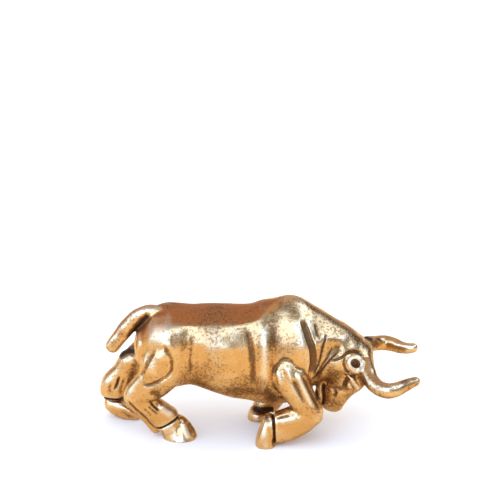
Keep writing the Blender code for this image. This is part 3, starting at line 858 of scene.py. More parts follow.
    # Painted shadow on the far thigh and down the far hind leg, with a painted highlight below it.
    far_thigh_shade: Stroke = Stroke(
        Place.LEFT_SEEN_ACROSS, 2.4, 0.1, ((-45.0, 22.6), (-42.6, 24.2), (-39.4, 24.0)), 1.3, ends=0.1
    )
    far_thigh_gloss: Stroke = Stroke(
        Place.LEFT_SEEN_ACROSS, 1.2, -0.1,
        ((-43.8, 20.4), (-41.6, 21.2), (-39.6, 21.2)),
        ends=0.2, rub_and_highlight=0.8,
    )
    far_leg_shade: Stroke = Stroke(Place.LEFT_SEEN_ACROSS, 2.2, 0.0, ((-39.6, 20.0), (-41.4, 13.6)), 0.62)
    # Painted shade on the lower half of the tail.
    tail_tip_shade: Stroke = Stroke(Place.BOTH, 2.2, 0.0, ((-43.4, 29.2), (-46.2, 26.2)), 0.4)
    far_tendon_a: Stroke = Stroke(
        Place.LEFT_SEEN_ACROSS, 0.65, 0.5, ((-44.4, 16.8), (-45.2, 14.2), (-46.2, 11.5)), 1.15, ends=0.3
    )
    far_tendon_b: Stroke = Stroke(
        Place.LEFT_SEEN_ACROSS, 0.7, 0.4, ((-42.8, 16.0), (-43.6, 13.5), (-44.6, 10.8)), 0.55, ends=0.3
    )
    far_tendon_c: Stroke = Stroke(
        Place.LEFT_SEEN_ACROSS, 0.7, 0.3, ((-47.2, 14.2), (-47.7, 12.0), (-47.2, 9.8)), 0.4, ends=0.3
    )
    far_hoof_shade: Stroke = Stroke(
        Place.LEFT_SEEN_ACROSS, 1.2, 0.2, ((-44.6, 5.4), (-41.8, 3.8), (-39.4, 2.6)), 0.5, ends=0.2
    )
    horn_shade: Stroke = Stroke(Place.BOTH, 1.4, 0.05, ((43.4, 15.2), (45.4, 14.6)), 0.36)

    left_arm_shift: Pair = (-2.0, -1.6)
    left_hind_shift: Pair = (-9.6, 3.2)

    facets: tuple[Facet, ...] = (Facet((-28.5, -10.2, 2.6), (-0.25, -0.88, 0.4), 4.2, 0.4),)

    def strokes(self) -> list[Stroke]:
        """Every stroke, with the right legs' strokes set over on the left legs too.

        Returns:
            The named strokes in their order, and then the left legs' ones.
        """
        values = [getattr(self, item.name) for item in fields(self)]
        named = [value for value in values if isinstance(value, Stroke)]
        arm = [self.arm_arc, self.elbow_ridge_a, self.elbow_ridge_b, self.arm_valley, self.arm_bone]
        hind = [self.hind_tendon_a, self.hind_tendon_b, self.hind_tendon_c]
        named += [stroke.moved(Place.LEFT, self.left_arm_shift) for stroke in arm]
        named += [stroke.moved(Place.LEFT, self.left_hind_shift) for stroke in hind]
        return named


@dataclass(frozen=True)
class Fusing:
    """How the forms become one casting.

    Args:
        cell: The cell that the forms are fused on, in units.
        soften_reach: How far the softening reaches at its strongest, in units.
        soften_everywhere: The share of it that the whole surface gets.
        joins: Places that get more: x, y, z of the middle, and the reach.
        join_strength: The softening in a join's middle before it is held to 1, so that a patch round the
            middle is softened fully.
        triangles: The most triangles that the finished casting has.
    """

    cell: float = 0.26
    soften_reach: float = 1.1
    soften_everywhere: float = 0.22
    joins: tuple[Join, ...] = (
        (8.0, -10.0, 27.0, 6.0), (6.0, 9.0, 27.0, 6.0), (-29.0, -9.0, 29.0, 9.0),
        (-29.0, 9.0, 29.0, 9.0), (16.5, -11.6, 10.8, 5.0), (12.0, 10.0, 15.2, 5.0),
        (-39.0, -7.9, 15.4, 5.5), (-41.4, 9.3, 18.8, 5.0), (-33.0, 0.0, 37.0, 6.0),
        (34.0, -9.0, 24.4, 4.0), (34.0, 9.0, 24.4, 4.0), (22.0, 0.0, 33.0, 11.0),
        (16.0, 0.0, 20.0, 8.0),
    )
    join_strength: float = 1.4
    triangles: int = 192_000

    @property
    def passes(self) -> int:
        """Smoothing passes: each spreads a point by about half a cell, and spreads add up as squares."""
        return int(round((self.soften_reach / (0.5 * self.cell)) ** 2))


class Plate:
    """The leaning plates beside the two flanks, and where each point of the casting falls on them."""

    # How squarely a surface has to face its plate to take a whole stroke: on a flank, and seen across.
    FLANK_EDGE = 0.4
    ACROSS_EDGE = 0.14
    # How far from the middle plane a foot's ring starts, and a stroke that is seen across, in units.
    FOOT_START = 1.0
    ACROSS_START = 2.0

    def __init__(self, points: np.ndarray, normals: np.ndarray) -> None:
        """Keeps the casting's points and normals, in units."""
        self.points = points
        self.normals = normals

    def spot(self, side: int, upright: bool) -> tuple[np.ndarray, np.ndarray]:
        """Where each point falls on a plate.

        The height on a leaning plate is z cos L plus y sin L for the right side, with L the lean.

        Args:
            side: -1 for the right plate, 1 for the left one.
            upright: Whether the plate stands upright instead of leaning.

        Returns:
            The points' u and w.
        """
        if upright:
            return self.points[:, 0], self.points[:, 2]
        x, y, z = self.points.T
        return x, z * math.cos(PLATE_LEAN) - side * y * math.sin(PLATE_LEAN)

    def facing(self, side: int) -> np.ndarray:
        """How squarely each point faces a plate: the cosine of the angle to the plate's own normal."""
        _, y, z = self.normals.T
        return side * y * math.cos(PLATE_LEAN) + z * math.sin(PLATE_LEAN)

    def masks(self, place: Place) -> list[tuple[int, np.ndarray]]:
        """The plates that a place is drawn on, and how much each point takes of a stroke there.

        Args:
            place: The place.

        Returns:
            Pairs of the side and a mask from 0 to 1.
        """
        across = self.points[:, 1]
        if place in (Place.ROUND_RIGHT_FOOT, Place.ROUND_LEFT_FOOT):
            side = -1 if place is Place.ROUND_RIGHT_FOOT else 1
            return [(side, (across * side > self.FOOT_START).astype(float))]
        if place is Place.LEFT_SEEN_ACROSS:
            return [(-1, fade(self.facing(-1) / self.ACROSS_EDGE) * (across > self.ACROSS_START))]
        sides = {Place.BOTH: (-1, 1), Place.RIGHT: (-1,), Place.LEFT: (1,)}[place]
        return [(side, fade(self.facing(side) / self.FLANK_EDGE) * (across * side > 0.0)) for side in sides]


class Chisel:
    """Carves strokes and facets into a surface, and says what they leave on the metal."""

    # Steps of a route's curve between two of its points.
    ROUTE_STEPS = 4
    # A facet's cut fades in over this share of its reach.
    FACET_EDGE = 1.0 / 3.0

    def __init__(self, carving: Carving) -> None:
        """Keeps the carving."""
        self.carving = carving

    @staticmethod
    def away_from(u: np.ndarray, w: np.ndarray, route: Route) -> tuple[np.ndarray, np.ndarray]:
        """How far each point lies from a route, and how far along it is.

        Args:
            u: The points' places along the plate.
            w: Their heights on it.
            route: The route's points.

        Returns:
            The distances in units, and the shares of the route's length, from 0 to 1.
        """
        path = np.array(route, float)
        if len(path) > 2:
            path = smooth_stations(path, Chisel.ROUTE_STEPS)
        lengths = np.linalg.norm(np.diff(path, axis=0), axis=1)
        starts = np.concatenate([[0.0], np.cumsum(lengths)])
        nearest = np.full(len(u), np.inf)
        along = np.zeros(len(u))
        for start, end, length, done in zip(path, path[1:], lengths, starts):
            step = (end - start) / length
            travel = np.clip((u - start[0]) * step[0] + (w - start[1]) * step[1], 0.0, length)
            away = np.hypot(u - start[0] - travel * step[0], w - start[1] - travel * step[1])
            closer = away < nearest
            nearest = np.where(closer, away, nearest)
            along = np.where(closer, (done + travel) / starts[-1], along)
        return nearest, along

    def shape(self, stroke: Stroke, u: np.ndarray, w: np.ndarray) -> np.ndarray:
        """A stroke's depth at each point, from 0 to 1, before the side's mask.

        Across a round stroke the depth is a smooth step of the nearness; a flat one reaches its full
        depth half way in, and a sharp one is a straight V.

        Args:
            stroke: The stroke.
            u: The points' places along the plate.
            w: Their heights on it.

        Returns:
            The depths.
        """
        away, along = self.away_from(u, w, stroke.route)
        near = 1.0 - away / stroke.half_width
        across = {
            Profile.ROUND: lambda: fade(near),
            Profile.FLAT: lambda: fade(2.0 * near),
            Profile.SHARP: lambda: np.clip(near, 0.0, 1.0),
        }[stroke.profile]()
        if len(stroke.route) > 2 and stroke.ends > 0:
            across = across * fade(along / stroke.ends) * fade((1.0 - along) / stroke.ends)
        return across

    def share(self, stroke: Stroke, plate: Plate) -> np.ndarray:
        """How much of a stroke each point takes. Its masks on the two flanks don't overlap.

        Args:
            stroke: The stroke.
            plate: The casting's points and normals.

        Returns:
            Shares from 0 to 1.
        """
        total = np.zeros(len(plate.points))
        for side, mask in plate.masks(stroke.place):
            total += self.shape(stroke, *plate.spot(side, stroke.upright)) * mask
        return total

    def relief(self, plate: Plate, raised: bool) -> np.ndarray:
        """The deepest cut, or the highest rise, of the strokes at each point.

        Args:
            plate: The casting's points and normals.
            raised: Whether the raised strokes are wanted, and not the cuts.

        Returns:
            Depths or heights in units, never negative.
        """
        total = np.zeros(len(plate.points))
        for stroke in self.carving.strokes():
            if (stroke.depth < 0) == raised:
                total = np.maximum(total, abs(stroke.depth) * self.share(stroke, plate))
        return total

    def file_facets(self, plate: Plate) -> np.ndarray:
        """The points after every facet is filed.

        Args:
            plate: The casting's points and normals.

        Returns:
            The new points. What stands proud of a facet's plane within its reach comes down to the plane.
        """
        points = plate.points.copy()
        for facet in self.carving.facets:
            facing = np.array(facet.facing) / np.linalg.norm(facet.facing)
            away = np.linalg.norm(points - facet.centre, axis=1) / facet.reach
            height = points @ facing
            proud = np.clip(height - (height[away < 1.0].max() - facet.depth), 0.0, None)
            points -= (proud * fade((1.0 - away) / self.FACET_EDGE))[:, None] * facing
        return points

    def marks(self, plate: Plate) -> tuple[np.ndarray, np.ndarray]:
        """What the strokes leave on the metal.

        Args:
            plate: The casting's points and normals.

        Returns:
            How dark each point is painted, patina in the cuts and painted shade in the shades, and how
            bright, a painted highlight with some real rubbing.
        """
        dark = np.zeros(len(plate.points))
        rub_and_highlight = np.zeros(len(plate.points))
        for stroke in self.carving.strokes():
            if stroke.dark > 0 or stroke.rub_and_highlight > 0:
                share = self.share(stroke, plate)
                dark = np.maximum(dark, stroke.dark * share)
                rub_and_highlight = np.maximum(rub_and_highlight, stroke.rub_and_highlight * share)
        return dark, rub_and_highlight


@dataclass
class Casting:
    """The whole bull in one piece of metal.

    Args:
        name: The object's name.
        torso: The barrel, the hump and the neck.
        head: The forms of the head.
        fore_legs: The front legs.
        hind_legs: The hind legs and the tail.
        carving: The strokes and facets.
        fusing: How the forms become one.
        detail: How finely the lofts are drawn.
        waviness: The height of the hand work's waves, as a share of their length.
        waviness_lengths: Their lengths, in units.
        waviness_count: How many waves there are of each length.
        waviness_seed: The start of their random directions.
        crown_along: Places along the dull back, from the tail to the hump.
        crown_tilt: How far its edge leans sideways at those places, as a sine.
        crown_edge: The width of that edge, as a sine.
        crown_rise: The upward lean at which it starts and is whole, as sines.
        crown_above: The height that it starts at, in units.
        ground_facing: The upward lean at which a surface starts to face the ground, and does so fully.
        hollow_passes: Passes of averaging that make the surroundings which hollows are measured from.
        hollow_step: The depth that counts as one in "hollow", in units.
    """

    name: str = "bull_casting"
    torso: Torso = field(default_factory=Torso)
    head: HeadForms = field(default_factory=HeadForms)
    fore_legs: ForeLegs = field(default_factory=ForeLegs)
    hind_legs: HindLegs = field(default_factory=HindLegs)
    carving: Carving = field(default_factory=Carving)
    fusing: Fusing = field(default_factory=Fusing)
    detail: LoftDetail = field(default_factory=LoftDetail)
    waviness: float = 0.0028
    waviness_lengths: tuple[float, ...] = (8.0, 5.0, 3.2)
    waviness_count: int = 4
    waviness_seed: int = 7
    crown_along: tuple[float, ...] = (-36.0, -4.0, 6.0)
    crown_tilt: tuple[float, ...] = (0.742, 0.742, 0.10)
    crown_edge: float = 0.185
    crown_rise: Pair = (0.25, 0.45)
    crown_above: float = 33.0
    ground_facing: Pair = (-0.05, -0.65)
    hollow_passes: int = 40
    hollow_step: float = 0.1

    def build(self, box: tuple[Vector, Vector]) -> Object:
        """Makes the casting.

        Args:
            box: The lowest and the highest corner that it has to fill, in metres.

        Returns:
            Its object, at the origin.
        """
        obj = self._joined()
        self._fuse(obj)
        self._soften(obj)
        self._carve(obj)
        self._lighten(obj)
        self._grind_soles(obj)
        self._mark_surface(obj)
        self._fit(obj, box)
        obj.data.shade_smooth()
        return obj

    def _joined(self) -> Object:
        """Joins all the skins, which still overlap.

        Returns:
            One object.
        """
        skins = self.torso.skins(self.detail)
        for part in (self.head, self.fore_legs, self.hind_legs):
            for form in part.forms():
                skins += form.skins(self.detail)
        counts = np.cumsum([0] + [len(skin.points) for skin in skins])
        points = np.vstack([skin.points for skin in skins]) * UNIT
        faces = [[start + i for i in face] for start, skin in zip(counts, skins) for face in skin.faces]
        mesh = bpy.data.meshes.new(self.name)
        mesh.from_pydata(points.tolist(), [], faces)
        turned = bmesh.new()
        turned.from_mesh(mesh)
        bmesh.ops.recalc_face_normals(turned, faces=turned.faces)
        turned.to_mesh(mesh)
        turned.free()
        obj = bpy.data.objects.new(self.name, mesh)
        bpy.context.scene.collection.objects.link(obj)
        return obj

    @staticmethod
    def _apply(obj: Object) -> None:
        """Makes an object's mesh what its modifiers make of it.

        Args:
            obj: The object, which loses its modifiers.
        """
        graph = bpy.context.evaluated_depsgraph_get()
        made = bpy.data.meshes.new_from_object(obj.evaluated_get(graph))
        obj.modifiers.clear()
        old = obj.data
        obj.data = made
        bpy.data.meshes.remove(old)

    @staticmethod
    def _rows(items: bpy.types.bpy_prop_collection, name: str, width: int, kind: type) -> np.ndarray:
        """Reads a property of all of a mesh's items at once.

        Args:
            items: The items.
            name: The property.
            width: How many numbers it has.
            kind: The type of its numbers.

        Returns:
            A row for each item.
        """
        flat = np.empty(len(items) * width, kind)
        items.foreach_get(name, flat)
        return flat.reshape(-1, width)

    def _points(self, mesh: Mesh) -> np.ndarray:
        """The vertices as rows of x, y, z in units."""
        return self._rows(mesh.vertices, "co", 3, np.float32).astype(float) / UNIT

    def _normals(self, mesh: Mesh) -> np.ndarray:
        """The vertex normals as rows."""
        return self._rows(mesh.vertex_normals, "vector", 3, np.float32).astype(float)

    def _edges(self, mesh: Mesh) -> np.ndarray:
        """The edges as pairs of vertex numbers."""
        return self._rows(mesh.edges, "vertices", 2, np.int32)

    @staticmethod
    def _set_points(mesh: Mesh, points: np.ndarray) -> None:
        """Puts rows of units back into the mesh."""
        mesh.vertices.foreach_set("co", (points * UNIT).astype(np.float32).ravel())
        mesh.update()

    def _fuse(self, obj: Object) -> None:
        """Makes one closed surface of the overlapping skins.

        Args:
            obj: The casting's object.
        """
        remesh = obj.modifiers.new("fuse", "REMESH")
        remesh.mode = "VOXEL"
        remesh.voxel_size = self.fusing.cell * UNIT
        self._apply(obj)

    def _soften(self, obj: Object) -> None:
        """Rounds the joins: each point moves towards its neighbours' mean, most of all near a join.

        Args:
            obj: The casting's object.
        """
        points = self._points(obj.data)
        weight = np.full(len(points), self.fusing.soften_everywhere)
        for x, y, z, reach in self.fusing.joins:
            away = np.linalg.norm(points - (x, y, z), axis=1) / reach
            weight = np.maximum(weight, np.clip(self.fusing.join_strength * (1.0 - away), 0.0, 1.0))
        smoothed = self._averaged(points, self._edges(obj.data), self.fusing.passes, weight)
        self._set_points(obj.data, smoothed)

    @staticmethod
    def _averaged(values: np.ndarray, edges: np.ndarray, passes: int, weight: np.ndarray) -> np.ndarray:
        """Values on the vertices, spread along the edges.

        In each pass a value moves half way to the mean of its neighbours, times its weight.

        Args:
            values: One row for each vertex.
            edges: Pairs of vertex numbers.
            passes: How many times.
            weight: How much of each move is made, from 0 to 1.

        Returns:
            The new rows.
        """
        count = len(values)
        ends = np.concatenate([edges[:, 0], edges[:, 1]])
        others = np.concatenate([edges[:, 1], edges[:, 0]])
        share = 1.0 / np.maximum(np.bincount(ends, minlength=count), 1)
        step = 0.5 * weight[:, None]
        for _ in range(passes):
            sums = [np.bincount(ends, column[others], minlength=count) for column in values.T]
            mean = np.column_stack([total * share for total in sums])
            values = values + (mean - values) * step
        return values

    def _hand_worked(self, points: np.ndarray) -> np.ndarray:
        """How far each point is pushed out by the unevenness of hand work.

        The push is a sum of sine waves, each along its own direction with its own phase, at lengths
        from a twelfth to a thirtieth of the bull.

        Args:
            points: Rows of x, y, z in units.

        Returns:
            The pushes in units.
        """
        chance = np.random.default_rng(self.waviness_seed)
        push = np.zeros(len(points))
        for length in self.waviness_lengths:
            for _ in range(self.waviness_count):
                direction = chance.normal(size=3)
                direction /= np.linalg.norm(direction)
                phase = chance.uniform(0.0, 2.0 * math.pi)
                turns = points @ direction * (2.0 * math.pi / length)
                push += self.waviness * length * np.sin(turns + phase)
        return push

    def _carve(self, obj: Object) -> None:
        """Files the facets, raises the broad forms, and then cuts the fine strokes along the normals.

        Args:
            obj: The casting's object.
        """
        chisel = Chisel(self.carving)
        mesh = obj.data
        self._set_points(mesh, chisel.file_facets(Plate(self._points(mesh), self._normals(mesh))))
        for raised in (True, False):
            plate = Plate(self._points(mesh), self._normals(mesh))
            amount = chisel.relief(plate, raised)
            push = amount + self._hand_worked(plate.points) if raised else -amount
            self._set_points(mesh, plate.points + plate.normals * push[:, None])

    def _lighten(self, obj: Object) -> None:
        """Leaves fewer triangles, most of them where the form bends.

        Args:
            obj: The casting's object.
        """
        mesh = obj.data
        mesh.calc_loop_triangles()
        decimate = obj.modifiers.new("lighten", "DECIMATE")
        decimate.ratio = min(1.0, self.fusing.triangles / len(mesh.loop_triangles))
        decimate.use_collapse_triangulate = True
        self._apply(obj)

    @staticmethod
    def _grind_soles(obj: Object) -> None:
        """Cuts the four soles flat on the ground plane.

        Args:
            obj: The casting's object.
        """
        solid = bmesh.new()
        solid.from_mesh(obj.data)
        cut = bmesh.ops.bisect_plane(
            solid,
            geom=solid.verts[:] + solid.edges[:] + solid.faces[:],
            plane_co=(0.0, 0.0, 0.0),
            plane_no=(0.0, 0.0, -1.0),
            clear_outer=True,
        )
        rim = [item for item in cut["geom_cut"] if isinstance(item, bmesh.types.BMEdge)]
        bmesh.ops.holes_fill(solid, edges=rim)
        bmesh.ops.recalc_face_normals(solid, faces=solid.faces)
        bmesh.ops.triangulate(solid, faces=solid.faces)
        solid.to_mesh(obj.data)
        solid.free()

    def _mark_surface(self, obj: Object) -> None:
        """Writes what the finish needs to know at each vertex.

        "cut" is how dark the strokes are painted: patina in the cuts, and painted shade in the shades.
        Their other mark is how bright they are painted, a painted highlight with some real rubbing.
        "hollow" is how far a point lies below the mean of its surroundings, and negative on ridges. "crown"
        is 1 on the flat top of the back and 0 on the flanks, and narrows to nothing on the hump; the finish
        paints it reddish brown, partly as a painted reflection. "under" is 1 where the surface faces the
        ground, and the finish paints shade there.

        Args:
            obj: The casting's object.
        """
        mesh = obj.data
        points, normals = self._points(mesh), self._normals(mesh)
        smoothed = self._averaged(points, self._edges(mesh), self.hollow_passes, np.ones(len(points)))
        hollow = ((smoothed - points) * normals).sum(axis=1) / self.hollow_step
        # The crown is painted reddish brown by the finish: partly the back's own tone, partly a painted
        # reflection.
        tilt = np.interp(points[:, 0], self.crown_along, self.crown_tilt)
        crown = fade((tilt - np.abs(normals[:, 1])) / self.crown_edge)
        crown = crown * ease(normals[:, 2], *self.crown_rise) * (points[:, 2] > self.crown_above)
        # What faces the ground gets painted shade from the finish.
        under = ease(normals[:, 2], *self.ground_facing)
        dark, rub_and_highlight = Chisel(self.carving).marks(Plate(points, normals))
        values = {"cut": dark, "rub_and_highlight": rub_and_highlight, "hollow": hollow, "crown": crown, "under": under}
        for name, value in values.items():
            layer = mesh.attributes.new(name, "FLOAT", "POINT")
            layer.data.foreach_set("value", value.astype(np.float32))

    def _fit(self, obj: Object, box: tuple[Vector, Vector]) -> None:
        """Stands the casting on the ground plane with its middle over the middle of the box.

        Args:
            obj: The casting's object.
            box: The box's lowest and highest corner, in metres.
        """
        points = self._points(obj.data)
        low, high = points.min(axis=0), points.max(axis=0)
        middle = (low + high) / 2.0
        target = (np.array(box[0]) + np.array(box[1])) / 2.0 / UNIT
        shift = (target[0] - middle[0], target[1] - middle[1], -low[2])
        self._set_points(obj.data, points + shift)


@dataclass(frozen=True)
class BrassFinish:
    """Polished brass with dark patina in the cuts, specks on the flanks, and a duller, grained back.
    It also paints light and shade: painted shade in the shade strokes and on what faces the ground, a
    reddish brown back that is partly a painted reflection, and painted highlights of lighter, less
    metallic brass on rubbed places and ridges.

    Args:
        metal: The clean brass, linear.
        wear_and_highlight: The lighter brass on rubbed places and ridges, linear: partly real rubbing and
            partly a painted highlight.
        film_and_shade: The thin brown layer round the cuts, linear, which also paints shade in the shade
            strokes and on what faces the ground.
        crown: The reddish brown of the dull back, linear: partly the back's own tone and partly a painted
            reflection of the warm room.
        patina: The dark brown in the cuts, linear, which is also the black of painted shade where a shade
            stroke runs dark.
        polish: Roughness of the clean flanks.
        dull: Roughness of the back.
        highlight_metallic: How metallic the rubbed places are. Below 1 they glow cream in the room's even
            light from any side: a painted highlight, with fine scratches that scatter light.
        speck_size: The distance between specks, in metres.
        grain_size: The distance between grains, in metres.
        cloud_size: The distance between patches of specks, in metres.
        relief: The height of the grain, in metres.
        relief_strength: How much of it shows.
        handled_below: The heights between which patches of specks fade out towards the feet, in metres.
        settles: The hollowness at which patina starts to settle, and has settled fully.
        ridge_span: The same for the lighter brass on a ridge, where "hollow" is negative.
        ridge_lightness: How much lighter brass a ridge gets, from 0 to 1: partly real rubbing and partly a
            painted highlight.
        clouds: The noise at which a patch of specks starts, and is whole.
        cloud_density: The density of patina in a whole patch.
        underside_shade_density: Its density on what faces the ground, which is painted shade.
        rub_and_highlight_density: The share of it that is left where rubbing and painted highlights clear
            it.
        speck_lift: How far a density of 1 lifts the specks' noise.
        speck_edge: The lifted noise at which a speck starts, and is whole.
        speck_strength: How dark specks are at a density of 0 and of 1.
        black_grain: How much the specks' noise breaks up the edge of the black bottom of a cut, or of a
            painted shade.
        black_edge: The sum at which that bottom starts, and is whole.
        film_grain: How much the clouds break up the film.
        film_edge: The sum at which the film starts, and is whole.
        film_share: How much of the colour is the film's where it is whole.
        grain_edge: The noise at which a grain starts, and is whole.
        grain_strength: How dark grains are on the flanks and on the back.
        film_roughness: The roughness that film adds.
        rub_roughness: The roughness that rubbing adds.
        patina_roughness: The roughness that patina adds.
        grain_relief: How much of the relief is grain, on the flanks and on the back.
        speck_relief: How far specks sink, as a share of the relief.
        cloud_relief: How far patches swell, in the same way.
    """

    metal: Colour = (0.80, 0.51, 0.215)
    wear_and_highlight: Colour = (0.97, 0.81, 0.52)
    film_and_shade: Colour = (0.47, 0.24, 0.085)
    crown: Colour = (0.64, 0.26, 0.078)
    patina: Colour = (0.060, 0.030, 0.016)
    polish: float = 0.20
    dull: float = 0.40
    highlight_metallic: float = 0.55
    speck_size: float = 0.00042
    grain_size: float = 0.00020
    cloud_size: float = 0.0052
    relief: float = 0.000035
    relief_strength: float = 0.6
    handled_below: Pair = (0.003, 0.0085)
    settles: Pair = (0.5, 3.2)
    ridge_span: Pair = (-0.6, -3.2)
    ridge_lightness: float = 0.7
    clouds: Pair = (0.25, 0.68)
    cloud_density: float = 0.42
    underside_shade_density: float = 0.30
    rub_and_highlight_density: float = 0.35
    speck_lift: float = 0.36
    speck_edge: Pair = (0.61, 0.77)
    speck_strength: Pair = (0.36, 0.62)
    black_grain: float = 0.6
    black_edge: Pair = (1.04, 1.36)
    film_grain: float = 0.3
    film_edge: Pair = (0.30, 0.95)
    film_share: float = 0.85
    grain_edge: Pair = (0.40, 0.75)
    grain_strength: Pair = (0.2, 0.4)
    film_roughness: float = 0.12
    rub_roughness: float = 0.14
    patina_roughness: float = 0.25
    grain_relief: Pair = (0.5, 1.0)
    speck_relief: float = -0.8
    cloud_relief: float = 4.0

    def material(self) -> bpy.types.Material:
        """The node material.

        Density is how much dark colour belongs at a place: what the strokes left, which is patina in the
        cuts and painted shade in the shades, what settles in hollows, painted shade on what faces the
        ground, and loose clouds of it. Specks are the peaks of a fine noise that density lifts over a
        threshold, so they crowd together towards a cut, and run together in its bottom.

        Returns:
            A material that reads Object coordinates and the casting's own attributes.
        """
        made = bpy.data.materials.new("cast_brass")
        nodes = NodeBench(made)
        output = nodes.add("ShaderNodeOutputMaterial")
        shader = nodes.add("ShaderNodeBsdfPrincipled")
        nodes.link(shader.outputs["BSDF"], output.inputs["Surface"])

        where = nodes.add("ShaderNodeTexCoord").outputs["Object"]
        cut, rub_and_highlight, hollow = nodes.attribute("cut"), nodes.attribute("rub_and_highlight"), nodes.attribute("hollow")
        crown, under = nodes.attribute("crown"), nodes.attribute("under")
        cloud = nodes.noise(where, 1.0 / self.cloud_size, detail=3.0)
        specks = nodes.noise(where, 1.0 / self.speck_size, detail=4.0)
        grain = nodes.noise(where, 1.0 / self.grain_size, detail=2.0)

        settled = nodes.ramp(hollow, *self.settles)
        split = nodes.add("ShaderNodeSeparateXYZ")
        nodes.link(where, split.inputs[0])
        above_feet = nodes.ramp(split.outputs["Z"], *self.handled_below)
        clouds = nodes.math("MULTIPLY", nodes.ramp(cloud, *self.clouds), self.cloud_density)
        clouds = nodes.math("MULTIPLY", clouds, above_feet)
        # Patina in the cuts and hollows, with painted shade from the shade strokes.
        density = nodes.math("MAXIMUM", cut, settled)
        # Painted shade on what faces the ground.
        density = nodes.math("MAXIMUM", density, nodes.math("MULTIPLY", under, self.underside_shade_density))
        density = nodes.math("ADD", density, clouds)
        density = nodes.math("MULTIPLY", density, nodes.span(rub_and_highlight, 1.0, self.rub_and_highlight_density))
        lifted = nodes.math("MULTIPLY_ADD", density, self.speck_lift, specks)
        spots = nodes.ramp(lifted, *self.speck_edge)
        # The black bottom of a deep cut, and of a dark painted shade.
        bottom = nodes.ramp(nodes.math("MULTIPLY_ADD", specks, self.black_grain, cut), *self.black_edge)
        dark = nodes.math("MULTIPLY", spots, nodes.span(density, *self.speck_strength))
        dark = nodes.math("MAXIMUM", dark, bottom)
        film_and_shade = nodes.ramp(nodes.math("MULTIPLY_ADD", cloud, self.film_grain, density), *self.film_edge)

        # The back's reddish brown: partly its own tone and partly a painted reflection.
        colour = nodes.mix(crown, self.metal, self.crown)
        # Lighter brass on ridges and on rubbed places: partly real rubbing and partly a painted highlight.
        wear_and_highlight = nodes.math("MULTIPLY", nodes.ramp(hollow, *self.ridge_span), self.ridge_lightness)
        colour = nodes.mix(nodes.math("MAXIMUM", wear_and_highlight, rub_and_highlight), colour, self.wear_and_highlight)
        colour = nodes.mix(nodes.math("MULTIPLY", film_and_shade, self.film_share), colour, self.film_and_shade)
        grains = nodes.ramp(grain, *self.grain_edge)
        grains = nodes.math("MULTIPLY", grains, nodes.span(crown, *self.grain_strength))
        colour = nodes.mix(grains, colour, self.patina)
        colour = nodes.mix(dark, colour, self.patina)
        nodes.link(colour, shader.inputs["Base Color"])

        rough = nodes.span(crown, self.polish, self.dull)
        rough = nodes.math("MULTIPLY_ADD", film_and_shade, self.film_roughness, rough)
        rough = nodes.math("MULTIPLY_ADD", rub_and_highlight, self.rub_roughness, rough)
        rough = nodes.math("MULTIPLY_ADD", dark, self.patina_roughness, rough)
        nodes.link(rough, shader.inputs["Roughness"])

        # Less metallic where rubbed, so the room's even light makes a painted highlight there.
        nodes.link(nodes.span(rub_and_highlight, 1.0, self.highlight_metallic), shader.inputs["Metallic"])

        height = nodes.math("MULTIPLY", grain, nodes.span(crown, *self.grain_relief))
        height = nodes.math("MULTIPLY_ADD", spots, self.speck_relief, height)
        height = nodes.math("MULTIPLY_ADD", cloud, self.cloud_relief, height)
        bump = nodes.add("ShaderNodeBump")
        bump.inputs["Strength"].default_value = self.relief_strength
        bump.inputs["Distance"].default_value = self.relief
        nodes.link(height, bump.inputs["Height"])
        nodes.link(bump.outputs["Normal"], shader.inputs["Normal"])
        return made


